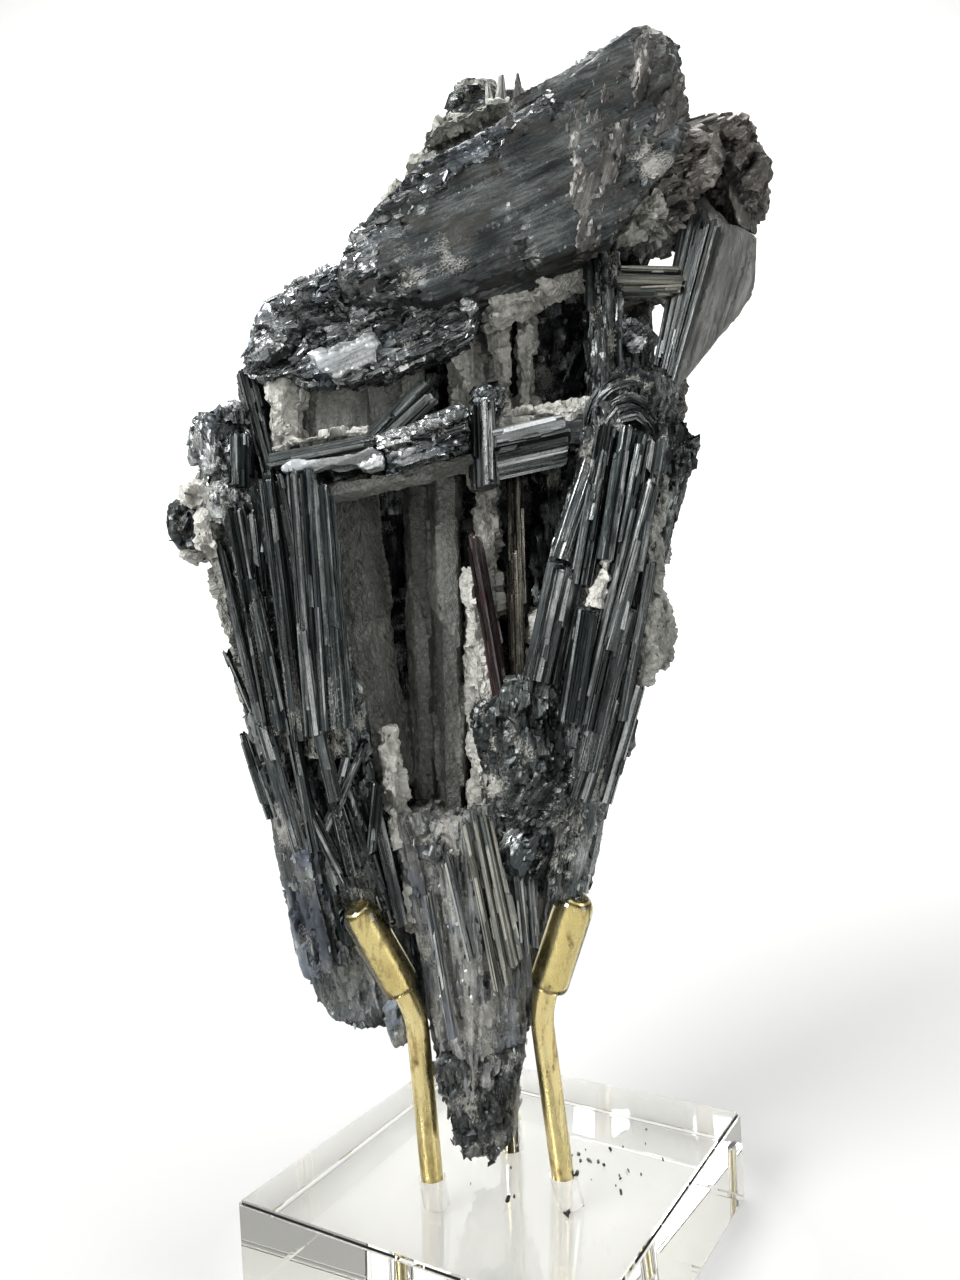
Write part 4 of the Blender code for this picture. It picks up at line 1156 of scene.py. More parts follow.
# Forms that the source keeps plainer
FORMS = (
    Plate("slab_face", -15.8, 11, (
        (-14.2, 130.5), (-12.6, 133), (-10.5, 136), (-7.9, 138.6), (-5, 141), (-2, 142.4), (1.9, 144.5),
        (5.9, 146.5), (9.1, 148), (12.1, 149.7), (15.5, 152), (17.5, 153.3), (20.4, 155.6), (22.7, 157.1),
        (24.8, 157.8), (26.6, 156.6), (27.9, 154), (28.7, 150.3), (29.2, 146.4), (27.2, 140.7),
        (24.5, 137.8), (22.3, 135.6), (19, 131.6), (14.3, 130.2), (7.6, 128.6), (2.2, 127.2),
        (-2.8, 125.2), (-8.1, 125.5), (-13, 125.8), (-14.8, 128.1),
    )),
    Plate("crown_bevel", -16.05, 5, (
        (-14.4, 129.6), (-13.6, 132), (-12, 134.2), (-9.6, 137), (-6.8, 139.3), (-3.6, 141.9), (0, 143.5),
        (4, 145.4), (8.4, 147.6), (12.4, 149.8), (12.6, 148.6), (8.6, 145.8), (5.6, 142.6), (1.6, 141.4),
        (-1.4, 138.2), (-4.6, 137), (-6.2, 133), (-9.4, 131.6), (-10.2, 128.8), (-13, 127.8),
    )),
    Plate("crown_right", -15.9, 4, (
        (14.1, 146.7), (16.1, 149.8), (18.9, 153.2), (21.8, 155.0), (24.6, 156.7), (26.9, 155.4),
        (28.5, 151.4), (28.8, 146.5), (26.2, 144.0), (22.3, 142.5), (20.3, 139.1), (18.6, 135.6),
        (17.5, 130.6), (14.3, 129.9), (15.2, 133.8), (14.0, 136.6), (15.0, 140.1), (13.6, 143.0),
    )),
    Plate("ledge_face", -9, 9, (
        (-9.8, 139), (-8.8, 141.7), (-6.6, 144.2), (-5.2, 146.2), (-3.5, 147.2), (-2.5, 147.6),
        (-2.2, 149.4), (-1.6, 150.8), (0.7, 151.6), (2.6, 151.3), (4.2, 152), (6.5, 151.7), (8.5, 151),
        (10.2, 149.5), (6.2, 145.1), (-0.4, 141), (-5.7, 137.8),
    )),
    Blade("ledge_step", (-3.6, -11, 147), (7.6, -10, 151.2), 2, 4, 0, 1.0, 0.4),
    Plate("ledge_top", -7, 8, (
        (-0.8, 150.8), (-0.3, 153.1), (0.7, 155), (2.2, 155.9), (4.2, 156), (5.7, 155.2), (7.6, 155.4),
        (9.7, 155), (12.5, 154.4), (14.4, 152.4), (10.4, 150), (5.2, 149.5),
    )),
    Blade("point_low", (5.4, -7, 153.2), (5.2, -7.2, 155.9), 1.2, 1.4, 10, 0.3),
    Blade("point_left", (6.8, -7.4, 152.8), (7.1, -7.4, 156.7), 1.7, 1.9, 20, 0.2),
    Blade("point_right", (9.0, -7.2, 152.8), (9.2, -7.2, 156.8), 1.8, 2, 50, 0.2),
    Plate("left_face", -13, 10, (
        (-14, 131.4), (-17.3, 130.8), (-19.6, 129.9), (-21.6, 128.5), (-24.5, 126.8), (-26.4, 123.6),
        (-27.4, 121.1), (-28, 118.5), (-25, 117.1), (-21.4, 117.9), (-20.2, 117.1), (-13.8, 116.2),
        (-10.3, 117.5), (-7.7, 118.9), (-2.6, 120.5), (1.2, 122.2), (2.4, 125.8), (-2.3, 127.5),
        (-8.2, 129.8),
    )),
    Plate("mirror_plate", -14.4, 2.6, (
        (-19.0, 120.1), (-17.4, 120.7), (-16.4, 120.4), (-15.0, 121.2), (-13.3, 121.3), (-11.9, 122.2),
        (-10.6, 122.4), (-9.8, 120.7), (-10.4, 119.3), (-10.2, 118.3), (-11.8, 118.1), (-12.8, 117.3),
        (-14.0, 117.5), (-15.2, 116.4), (-16.1, 116.7), (-16.5, 117.6), (-17.7, 117.9), (-18.3, 119.0),
    )),
    Plate("bar_plate", -17.4, 2.9, (
        (-22.3, 105.5), (-21.0, 106.3), (-18.9, 106.3), (-16.9, 106.5), (-15.2, 106.7), (-13.5, 106.8),
        (-11.5, 107.6), (-10.3, 107.1), (-9.9, 106.3), (-10.2, 105.0), (-11.8, 104.6), (-13.3, 105.3),
        (-15.3, 105.2), (-17.3, 105.4), (-18.5, 105.0), (-21.1, 104.9), (-22.2, 105.1),
    )),
    Blade("left_bar_top", (-21.8, -11, 127.7), (-13.2, -12, 130.9), 3, 7, 20, 1.0, 0.4),
    Blade("left_bar_mid", (-22.8, -12, 124.7), (-14.2, -13, 125.9), 2.6, 6, -15, 1.0, 0.4),
    Blade("left_bar_edge", (-26.4, -11.5, 119.5), (-21.3, -12.5, 122.5), 2.4, 6, 10, 1.0, 0.4),
    Lump("shoulder_top", (34.8, -5, 146.3), (5, 6, 3.4)),
    Lump("shoulder_right", (37.9, -5, 141.8), (3.2, 6, 4.6)),
    Lump("shoulder_mid", (27.9, -9, 143.1), (6.5, 5, 4.6)),
    Lump("shoulder_low", (25, -9, 138.1), (5.5, 5, 4.2)),
    Blade("shoulder_lath_a", (19, -12.5, 141.3), (31.4, -11, 146.1), 2.2, 3, 20),
    Blade("shoulder_lath_b", (19.6, -13.5, 138.8), (29.7, -12, 142.2), 1.8, 3, -10),
    Blade("shoulder_lath_c", (24.6, -11.6, 144.8), (33.4, -9.6, 148.2), 1.8, 3, 30),
    Lump("pitted_low", (23.4, -11, 136), (3.4, 4, 3)),
    Blade("pitted_bar", (20.6, -11.8, 132.6), (28.4, -9.8, 136.8), 3, 4, 15, 1.0, 0.6),
    Hull("shoulder_prism", (0.2, 0, 1), (
        (36.6, -8, 142.7), (39.2, -6, 143), (39.4, -6, 134.7), (36.2, -9, 135), (35, -9, 139.5),
        (38.5, -1, 145.9), (40.7, -1, 145.2), (40.9, -1, 136.6), (38.4, -1, 138.1),
    )),
    Hull("wing_left", (0.26, 0, 0.97), (
        (34.1, -11.5, 134.3), (25.7, -11.5, 112.7), (30.5, -8, 138.3), (24.8, -8, 117.7),
        (32.4, -7, 139.9), (36.4, -3, 137.7), (27.4, -3, 114.6), (31.9, -2, 140.7), (25.9, -2, 119.2),
    )),
    Hull("wing_right", (0.3, 0, 0.95), (
        (34.1, -11.5, 134.3), (25.7, -11.5, 112.7), (39.1, -7, 134.1), (38.4, -7, 127.5), (36.1, -7, 124),
        (31.2, -8, 120.4), (26.6, -7, 113.7), (36.8, -1.5, 138.3), (40.7, -1.5, 136.2),
        (39.7, -1.5, 129.3), (37.5, -1.5, 125.6), (32.7, -1.5, 122.5),
    )),
    Plate("rung_block", -9.5, 4, (
        (19.8, 130.3), (23.5, 130.4), (26.2, 129.6), (28.7, 129.6), (28.6, 126.1), (25.8, 125.7),
        (23.2, 126.3), (19.6, 126.5),
    )),
    Blade("rung_high", (20.6, -10, 129.6), (28.2, -10, 129), 0.9, 2),
    Blade("rung_mid", (20, -10.4, 128.2), (28.4, -10.4, 127.6), 1, 2),
    Blade("rung_low", (20.5, -10, 126.9), (28.2, -10, 126.5), 0.9, 2),
    Hull("cap_mass", (0.1, 0, 1), (
        (15.3, -15, 107.4), (16.2, -14, 112.7), (19.1, -14, 115.3), (22.6, -13, 115.3),
        (25.5, -12, 112.4), (24, -14, 105.9), (20.8, -16, 102.3), (16, -16, 103.5), (16.8, -3, 109.6),
        (18.2, -3, 116.2), (23.7, -3, 117.3), (27.3, -3, 114.4), (26.1, -3, 107.8),
    )),
    Hull("cap_side", (0.3, 0, 1), (
        (22.4, -13, 112), (26.1, -11, 111.6), (29.2, -9, 106.3), (26.2, -10, 100.1), (23.3, -14, 104.6),
        (21.2, -15, 107.1), (24.3, -2, 114.4), (28, -2, 113.5), (30, -2, 107.5), (27.9, -2, 101.1),
    )),
    Blade("facet_pale", (-23.6, -9, 108.3), (-23.3, -9, 118.5), 4.6, 6, 6),
    Blade("facet_thin", (-21.1, -8, 107.8), (-20.7, -8, 118.4), 2, 5, -8),
    Blade("facet_broad", (-17, -5.5, 109.3), (-16.8, -5.5, 118.3), 8.6, 5, 6),
    Blade("facet_brown", (-12.5, -5, 110.8), (-12.6, -4, 120), 4, 5, -20),
    Blade("prism_dark_a", (-11.7, -13, 109.2), (-4.4, -12, 116), 2, 2.5, 20),
    Blade("prism_dark_b", (-10.2, -13.5, 108.5), (-3.7, -12.5, 114.3), 1.6, 2.2, -10),
    Hull("knob", (0.05, 0, 1), (
        (-33.5, -10, 110.9), (-31.9, -11, 113.1), (-29.3, -11, 114.4), (-27.6, -10, 113.6),
        (-26.9, -12, 108.9), (-27.4, -12, 104.2), (-30.2, -12, 103.8), (-33.1, -10, 106),
        (-35.2, -2, 112.5), (-33.8, -2, 114.6), (-30.4, -2, 115.4), (-29.6, -2, 105.7),
        (-35.2, -2, 107.4),
    )),
    Lump("knob_rim", (-32.6, -10.5, 110.2), (2.4, 3, 4.2)),
    Lump("knob_top", (-29.5, -10.5, 113.4), (2.6, 3, 2)),
    Blade("knob_prism", (-28.4, -12.3, 104.2), (-28.2, -12.3, 110.9), 2.6, 3, 8),
    Lump("ball", (-36.2, -8, 100.4), (2.5, 3.4, 3.3)),
    Lump("ring_top", (-34, -9, 103.9), (3, 3, 1.9)),
    Lump("ring_side", (-33.3, -8, 99.6), (2.4, 4, 4.4)),
    Lump("ring_low", (-35.6, -7, 96.8), (2.4, 3, 1.6)),
    Lump("neck", (-30.4, -9, 103), (3.4, 4.5, 3)),
    Lump("left_gap", (-28.5, -4, 110), (3.5, 5, 5)),
    Blade("druse_lath", (14.5, -16.6, 86.8), (17, -16.6, 96.1), 2.4, 2.4, 5, 0.8),
    Blade("druse_edge", (20.7, -12, 76.3), (24, -12, 104), 3.4, 4),
    Hull("wedge_front", (-0.05, 0, 1), (
        (-9.4, -6, 58.5), (-9.7, -6.5, 50), (-9.6, -6, 41.4), (-9.5, -6, 37.6), (-9.2, -6, 32.5),
        (-8.2, -6.5, 28), (-6.2, -7, 22), (-6, -11.5, 59.5), (-2, -12.6, 62.3), (0.9, -12.4, 63.5),
        (-3, -12.6, 40), (-3.4, -10.8, 26), (-3, -9.5, 20.5), (4.4, -10.5, 60), (6.6, -8.5, 51),
        (4, -7.5, 37), (2.4, -7.5, 31), (0.7, -8, 24), (-7, -2, 58), (5, -2, 58), (-4.5, -3, 22),
        (0, -3, 22),
    )),
    Hull("lobe_front", (-0.2, 0, 1), (
        (-28.9, -6, 66.4), (-27.8, -5, 60.4), (-25.4, -4.2, 54), (-24.8, -4, 47.3), (-24.9, -3.6, 38.6),
        (-24.2, -3.4, 36), (-22.4, -3.4, 33.8), (-20, -3.4, 32.2), (-16, -3.2, 31.6), (-10.4, -2.4, 32.4),
        (-9.6, -2.4, 42), (-9.8, -3.4, 52.5), (-14, -7.5, 59), (-20, -9.4, 65.2), (-25.1, -8.6, 67.4),
        (-20, -6.4, 46), (-24, 2, 62), (-11, 2, 60), (-23, 2, 37), (-11, 1, 34),
    )),
    Hull("lobe_gap", (-0.2, 0, 1), (
        (-13.5, -2.4, 52), (-7.6, -2.6, 52), (-7.4, -2, 36), (-9.6, -1.6, 32.4), (-14, -2, 33.4),
        (-13.5, 3, 52), (-6, 3, 52), (-6.4, 3, 36), (-9.4, 2, 33), (-14, 2, 34),
    )),
    Hull("tip_front", (-0.05, 0, 1), (
        (-8.6, -9, 30), (-7.8, -9.4, 25), (-7.2, -9, 22.4), (-6.2, -8.6, 18.6), (-4.8, -8.2, 15.8),
        (-1.4, -8, 15.4), (0.1, -8.6, 18.8), (1.2, -9, 21.8), (1.4, -9.2, 25), (3.2, -9, 31),
        (-3, -11, 30), (-2.6, -10.6, 22), (-5.4, -3, 19.4), (0, -3, 19.4), (-7.4, -3, 30), (3, -3, 31),
        (-3, -4.5, 17.4),
    )),
    Hull("wedge_right", (0.15, 0, 1), (
        (11.4, -6, 51.4), (9.2, -6, 46.0), (7.2, -6, 40.0), (5.4, -6, 35.3), (4.1, -6, 31.2),
        (11.4, 1, 51.4), (9.2, 1, 46.0), (7.2, 1, 40.0), (5.4, 1, 35.3), (4.1, 1, 31.2), (4.4, -7, 51.4),
        (2.2, -7, 46.0), (0.2, -7, 40.0), (-1.6, -7, 35.3), (-2.9, -7, 31.2),
    )),
    Blade("lobe_toe", (-13, -2.8, 29.8), (-12.4, -3.2, 37), 3.4, 4, 0, 1.6, 0.6),
    Hull("fan_front", (-0.15, 0, 1), (
        (-30, -8, 74.6), (-29.4, -8, 67.5), (-28.2, -8, 63.6), (-25.7, -8, 57.1), (-23.5, -8, 54),
        (-19, -9, 54.4), (-15.6, -9.6, 56), (-13.6, -10.6, 61.6), (-13.6, -11.6, 66.6),
        (-16.2, -13, 72.2), (-21, -14.2, 74.6), (-26.7, -12.6, 75.4), (-28, -2, 74), (-15, -2, 72),
        (-24, -2, 56), (-17, -2, 56),
    )),
    Hull("glint_front", (0.2, 0, 1), (
        (2.6, -13, 78), (5.1, -13.6, 79.3), (9.6, -13.4, 76.8), (12.2, -12.6, 73.1), (12.2, -12.6, 68.2),
        (11.2, -12, 63.3), (8.6, -11.6, 60), (5.3, -12.4, 59.4), (2.5, -12.6, 61.5), (1.3, -13, 66.3),
        (1.3, -13, 72.5), (6.5, -15, 70), (3, -6, 76), (11, -6, 74), (10, -6, 61), (3, -6, 62),
    )),
    Lump("broken_low", (4.6, -7.2, 57.4), (5.4, 5.6, 6.2)),
    Blade("grey_lath_left", (-13, -0.4, 64), (-16.4, -0.4, 105), 7.6, 8, -6, 1.1),
    Blade("grey_lath_thin", (-8, 1.6, 62), (-7.6, 1.6, 106), 4.2, 6, 10),
    Blade("grey_lath_middle", (-4.6, -1, 54), (-3.2, -1, 106), 4.8, 8, 5),
    Blade("prism_band", (3.3, -14.2, 108.5), (12.4, -14.2, 110.1), 1.5, 2.6, -28),
    Blade("prism_body", (3.5, -13.6, 105.5), (12.7, -13.6, 107), 4.6, 4.6, 0),
    Blade("druse_tuck", (-25.4, -12.8, 86), (-26, -12.8, 92), 2, 2.4, 5, 0.8),
)
# The long blades at the front, one by one: foot, head, width, depth and turn
FRONT_TEAL = (
    ((-27.1, -12.5, 73.2), (-31.3, -12.5, 96.7), 1.1, 1.6),
    ((-25.2, -14, 73.3), (-28.7, -14, 101.5), 2.7, 2.4),
    ((-26.3, -13.5, 91), (-26.8, -13.5, 100.9), 2.1, 2.4),
    ((-17.3, -16.4, 73.9), (-18, -16.4, 104), 2.7, 2.4, 6),
    ((-16.2, -15.5, 73.8), (-17.1, -15.5, 102.6), 1.1, 2, -15),
    ((-29, -10.5, 76), (-31.9, -10.5, 84.1), 0.8, 1.1),
    ((-26.5, -13.5, 63), (-29.4, -13.5, 73.4), 1.32, 2.08, 12),
    ((-14.5, -12.5, 58.1), (-13.2, -12.5, 66.8), 1.08, 1.92),
    ((12.9, -16, 89.7), (17.4, -16, 108.9), 2.4, 2.6, -8),
    ((16.1, -16.6, 92.5), (19.5, -16.6, 108.7), 2.2, 2.6, 5),
    ((16.4, -16.4, 88.9), (21.1, -16.4, 107.8), 1.8, 2.4, 14),
    ((10.8, -17.2, 73.3), (13.6, -17.2, 86.6), 3, 3, 4),
)
FRONT_MIXED = (
    ((-21.9, -15.6, 72.6), (-24.2, -15.6, 104.7), 2.4, 2.6, -8),
    ((-20.3, -16.4, 73.2), (-21, -16.4, 105.4), 2, 2.4, 5),
    ((-18.8, -16.8, 73.8), (-19.2, -16.8, 104.7), 1.5, 2.2, -12),
    ((-24.3, -15, 73.9), (-26.7, -15, 90), 1.4, 1.8, 10),
    ((-23.1, -14.5, 59), (-26.9, -14.5, 75.2), 1.56, 2.4, 10),
    ((-18.2, -15.2, 65), (-19.9, -15.2, 74.7), 1.56, 2.4, -10),
    ((-21, -13.5, 58.9), (-14.5, -13.5, 71.8), 1.1, 2.08, 20),
    ((-17.7, -14.5, 55), (-22.7, -14.5, 66.4), 1.32, 2.4, -14),
    ((10.9, -15, 92.9), (15.5, -15, 104.7), 3, 3, -12),
    ((11.9, -16.6, 72.2), (19.9, -16.6, 100.5), 1.4, 2.2, 10),
    ((17, -13.5, 72.9), (21.7, -13.5, 92.5), 2.2, 3, 15),
    ((11.7, -14, 63.3), (16.3, -14, 75.4), 2.6, 3, -10),
)
FRONT_STEEL = (
    ((-20.5, -16.2, 89.6), (-22.9, -16.2, 105), 1.2, 1.6, 12),
    ((-19.9, -17.2, 73.3), (-20.8, -17.2, 86.5), 1, 1.4),
    ((-20.8, -15, 59), (-23.3, -15, 75.7), 1.32, 2.4, -6),
    ((-18.5, -13.8, 64.8), (-16, -13.8, 72.8), 0.9, 1.6),
    ((-17.1, -14.2, 55.5), (-19, -14.2, 66.2), 0.96, 1.92, 12),
    ((19.5, -16, 91.2), (23.1, -16, 107), 2.2, 2.6, -8),
    ((15.6, -16.2, 81.7), (22.2, -16.2, 101.9), 2, 2.4, 8),
    ((7.6, -15.4, 78.2), (11.4, -15.4, 92.4), 4.2, 3, -6),
    ((13.2, -15.6, 72), (20.2, -15.6, 97.3), 3, 3, 8),
    ((12.5, -15, 67.1), (18.2, -15, 86.4), 3.4, 3, -8),
    ((14.2, -16.8, 97.4), (16.5, -16.8, 105.8), 1.2, 1.6, 10),
    ((14.6, -12, 62.8), (19.7, -12, 77.6), 3, 4, 10),
)
FRONT_TAN = (
    ((1.6, -12.9, 40.6), (-1.7, -13.3, 63.3), 0.9, 1.6, 5),
    ((2.5, -12.6, 42.8), (-0.6, -13.0, 62.4), 0.9, 1.6, -8),
    ((3.3, -12.2, 43.6), (0.4, -12.6, 61.9), 0.8, 1.6, 10),
    ((0.6, -13.0, 39.1), (-2.7, -13.4, 61.4), 0.8, 1.6, -6),
)
FRONT_WEDGE = (
    ((-2.6, -12.6, 43.9), (-5.2, -12.5, 57.4), 0.9, 1.8, -10),
    ((-5.6, -11.4, 33.8), (-7.8, -11.2, 52.1), 1.0, 2, -12),
    ((4.2, -10.6, 39.6), (3.6, -10.8, 54.5), 1.2, 2.2, -8),
    ((5.4, -9.8, 44.2), (5.2, -10.0, 55.6), 0.96, 2, 12),
)
# The layered arch over the right-hand blades: x and z of its middle line
ARCH_SEED = 31
ARCH_LAYERS = 11
ARCH_MIDDLE = (20.0, 106.0)
ARCH_INNER = 0.45
ARCH_FRONT = -15.1
ARCH = (
    (14.9, 103.7), (15.4, 108.6), (16.3, 111.7), (18.1, 113.6), (20.6, 114.3), (22.8, 113.3),
    (24.4, 111.3), (25.2, 108.8),
)

NAMED = {
    shape.name: shape
    for region in (CROWN, RIGHT_WING, RIGHT_BUNDLE, LEFT_BUNDLE, UPPER_CAVITY, CROSS_BAR, CAVITY,
                   LOWER, FORMS)
    for shape in region
}
UP_CROWN = (0.93, 0.0, 0.36)
UP_LEFT = (-0.2, 0.05, 1.0)
UP_RIGHT = (0.25, 0.0, 1.0)
UP = (0.0, 0.0, 1.0)

Rock = namedtuple("Rock", "name finish voxel keep style lean coat chips sources")
ROCKS = (
    Rock("crown_slab", "slate", 0.33, 0.5, FOIL, UP_CROWN, 0.06, 160,
         ("slab_face", "crown_ledge", "crown_low", "crown_high", "crown_rim", "peak_knob", "peak_side",
          "under_crown")),
    Rock("peak_rock", "peak", 0.33, 0.7, RIPPLED, (0.35, 0, 1.0), 0.08, 140, ("crown_right",)),
    # The bevel, left, knob and centre glitter rocks take the lighter "glitter" copy of the stibnite: in
    # part a painted highlight
    Rock("bevel_rock", "glitter", 0.33, 0.7, RIPPLED, UP_CROWN, 0.02, 420, ("crown_bevel",)),
    Rock("left_rock", "glitter", 0.33, 0.6, FOIL, UP_CROWN, 0.08, 420,
         ("left_face", "left_bar_top", "left_bar_mid", "left_bar_edge", "left_rough", "left_rough_high",
          "left_gap")),
    Rock("knob_rock", "glitter", 0.33, 0.6, FOIL, UP, 0.1, 120,
         ("knob", "knob_rim", "knob_top", "neck", "left_knob")),
    Rock("ball_rock", "dark", 0.33, 0.6, FOIL, UP, 0.0, 150, ("ball", "left_ball")),
    Rock("ball_ring", "pale", 0.33, 0.6, DRUSY, UP, 0, 0, ("ring_top", "ring_side", "ring_low")),
    Rock("centre_glitter", "glitter", 0.33, 0.7, FOIL, (0.8, 0, 0.6), 0.05, 120,
         ("broken_chunk", "stub_knob", "bright_nub")),
    Rock("crown_ledges", "green", 0.36, 0.55, DRUSY, UP_CROWN, 0, 0,
         ("ledge_face", "ledge_step", "crown_back_ledge", "crown_back_root")),
    Rock("ledge_top", "dark", 0.34, 0.6, FOIL, UP_CROWN, 0.3, 120, ("ledge_top", "back_knob")),
    Rock("shoulder_rock", "umber", 0.34, 0.55, HACKLE, UP_CROWN, 0.1, 420,
         ("shoulder_bar", "shoulder", "shoulder_edge", "shoulder_root", "shoulder_top", "shoulder_right",
          "shoulder_mid", "shoulder_low", "wing_root", "shoulder_prism")),
    Rock("shoulder_druse", "side", 0.33, 0.7, PITTED, UP_CROWN, 0, 0,
         ("pitted_lump", "pitted_low", "pitted_bar", "rung_block")),
    Rock("wing_rock", "wing", 0.4, 0.5, HACKLE, UP_RIGHT, 0.0, 0, ("wing_left", "wing_right")),
    # The mirror and bar plates take the lighter "bright" copy of the stibnite: painted reflection
    Rock("bright_faces", "bright", 0.3, 0.8, MIRROR, UP_CROWN, -0.3, 0, ("mirror_plate", "bar_plate")),
    Rock("cap_rock", "dark", 0.34, 0.6, FOIL, UP_RIGHT, 0.1, 200,
         ("cap_mass", "cap_side", "cap", "cap_facet")),
    Rock("core_rock", "dark", 0.8, 1.0, HACKLE, UP, 0.2, 300,
         ("core", "shelf", "hollow_wall", "left_waist", "back_rest", "gap_back")),
    Rock("left_bundle_rock", "teal", 0.36, 0.6, SPLINTERED, UP_LEFT, 0.15, 300,
         ("left_needle_blade", "left_wide", "left_inner", "left_front", "left_low_front",
          "inner_dark_left", "inner_dark_right", "left_top_blade", "facet_outer")),
    Rock("right_bundle_rock", "steel", 0.36, 0.6, SPLINTERED, UP_RIGHT, 0.22, 400,
         ("right_first", "right_second", "right_third", "right_striped", "right_dark", "right_bright",
          "right_edge", "right_low_inner", "right_low_outer", "right_low_bulge")),
    Rock("pillar_rock", "dark", 0.36, 0.6, SPLINTERED, UP, 0.1, 120, ("pillar", "cap_column")),
    Rock("lobe_rock", "blue", 0.36, 0.55, FINE, UP_LEFT, 0.2, 500,
         ("lobe_front", "lobe_gap", "lobe_toe", "lobe_back", "left_low_root", "left_low_outer")),
    Rock("fan_rock", "mixed", 0.34, 0.6, SPLINTERED, UP_LEFT, 0.1, 400, ("fan_front",)),
    Rock("wedge_rock", "wedge", 0.34, 0.6, FINE, UP, 0.26, 500,
         ("wedge_front", "wedge_right", "wedge_back", "wedge_side", "wedge_crown")),
    Rock("tip_rock", "slate", 0.33, 0.7, HACKLE, UP, 0.25, 260, ("tip_front", "tip_knob")),
    Rock("lower_glitter", "steel", 0.33, 0.6, FOIL, (0.6, 0, 0.8), 0.08, 200,
         ("glint_front", "broken_high", "broken_middle", "broken_low")),
    Rock("cavity_coats", "grey_coat", 0.38, 0.5, COATED, UP, 0, 0,
         ("grey_lath_left", "grey_lath_thin", "grey_lath_middle", "slanted_rung", "facet_broad",
          "facet_brown", "facet_second", "facet_third", "facet_fourth")),
    Rock("pale_coats", "pale", 0.34, 0.5, DRUSY, UP, 0, 0,
         ("pale_ridge", "pale_fragment", "pale_lath_high", "corner_lath", "drusy_ledge", "lip",
          "column_left", "column_middle", "column_right", "pale_rung", "right_drusy", "pale_inner_lath",
          "facet_pale", "facet_thin", "druse_lath", "druse_tuck")),
    Rock("side_druse", "side", 0.38, 0.5, DRUSY, UP, 0, 0,
         ("right_druse", "right_waist", "left_sheet", "left_shelf", "druse_edge")),
)
# Clean faces
CALM = (
    "mirror_plate", "bar_plate", "slab_face", "crown_low", "crown_high", "crown_ledge", "cap_side",
    "wing_left", "wing_right", "facet_broad", "facet_brown", "shoulder_prism",
)
# Hackly patches on clean faces, and dusty patches: x, z, radius and amount
BROKEN = (
    (-12, 132, 3.6, 1), (-8, 136, 3.2, 1), (-4, 139, 2.8, 1), (0, 141.6, 2.6, 1), (4, 143.8, 2.4, 1),
    (8, 146, 2.2, 1), (12, 148.6, 2.2, 1), (21.5, 138, 4, 0.9), (23.4, 143, 3, 0.9),
    (19.5, 147, 2.6, 0.7), (25.6, 154.6, 3.4, 1), (24, 150, 3.4, 0.8), (-6, 127, 3, 1), (1, 128, 1.8, 1),
    (27, 147, 3, 0.9), (-9, 127, 3, 1), (-11, 128, 3, 1), (8, 130, 2, 0.8),
)
COATS = (
    (26, 157, 3, 0.42), (-3, 36, 3.5, 0.3), (1, 44, 4, 0.35), (-4, 60, 3, 0.3), (20, 138, 4, 0.3),
    (24, 141, 4, 0.3), (-27, 118, 2, 0.3), (-31, 103, 3, 0.4), (1.5, 65, 2, 0.35), (16, 80, 3.5, 0.35),
    (14.5, 70, 5, 0.35), (-24, 74, 4, 0.3), (-25, 62, 4, 0.25),
)

Clean = namedtuple("Clean", "name finish pitch groove jag laths split sources")
CLEANS = (
    Clean("dark_blades", "dark", 0.36, 0.06, 0.7, 10, 2,
         ("upright_stub", "left_top_blade", "inner_dark_left", "inner_dark_right")),
    Clean("dark_prisms", "teal", 0.32, 0.1, 0.5, 4, 1, ("prism_dark_a", "prism_dark_b", "knob_prism")),
    Clean("ribbed_prism", "steel", 0.46, 0.2, 0.3, 3, 0, ("prism_body",)),
    # The prism's top band takes the lighter "bright" copy of the stibnite: painted highlight
    Clean("prism_band", "bright", 0.3, 0.09, 0.3, 6, 0, ("prism_band",)),
    Clean("bright_bar", "steel", 0.5, 0.06, 0.5, 5, 1, ("bright_bar",)),
    Clean("shoulder_laths", "umber", 0.34, 0.1, 0.6, 12, 1,
         ("shoulder_lath_a", "shoulder_lath_b", "shoulder_lath_c")),
    Clean("rungs", "tan", 0.5, 0.06, 0.6, 3, 1, ("rung", "rung_high", "rung_mid", "rung_low")),
    Clean("bronze_needle", "bronze", 0.26, 0.05, 0.4, 10, 1, ("bronze_needle",)),
    Clean("red_needle", "red", 0.26, 0.05, 0.8, 10, 1, ("red_needle",)),
    Clean("crown_points", "wing", 0.5, 0.03, 0.1, 0, 0, ("point_left", "point_right", "point_low")),
)
Front = namedtuple("Front", "name finish blades pitch laths")
FRONTS = (
    Front("front_teal", "teal", FRONT_TEAL, 0.28, 12),
    Front("front_mixed", "mixed", FRONT_MIXED, 0.26, 12),
    Front("front_steel", "steel", FRONT_STEEL, 0.28, 12),
    Front("front_tan", "tan", FRONT_TAN, 0.22, 6),
    Front("front_wedge", "wedge", FRONT_WEDGE, 0.26, 8),
)


def stone(finish):
    return druse_stone(finish) if finish in DRUSES else metal_stone(finish)


def back_blades():
    """The part's own rows of blades on the back and the sides, from the same draws."""
    rng = random.Random(BACK_SEED)
    for _ in range(BACK_DRAWS):
        rng.random()
    blades = []
    for row in BACK_ROWS:
        step = (row.last - row.first) / (row.count - 1)
        for i in range(row.count):
            angle = row.first + step * i + rng.uniform(-4, 4)
            low = row.foot_height + rng.uniform(-5, 5)
            high = row.head_height + rng.uniform(-9, 9)
            foot = core_point(low, angle, row.sink + BACK_ROOT)
            head = core_point(high, angle, row.sink)
            width = row.width * rng.uniform(0.7, 1.2)
            turn = 90 - angle + rng.uniform(-15, 15)
            blades.append(Blade("back", foot, head, width, row.depth, turn, rng.uniform(0.9, 1.15)))
    return blades


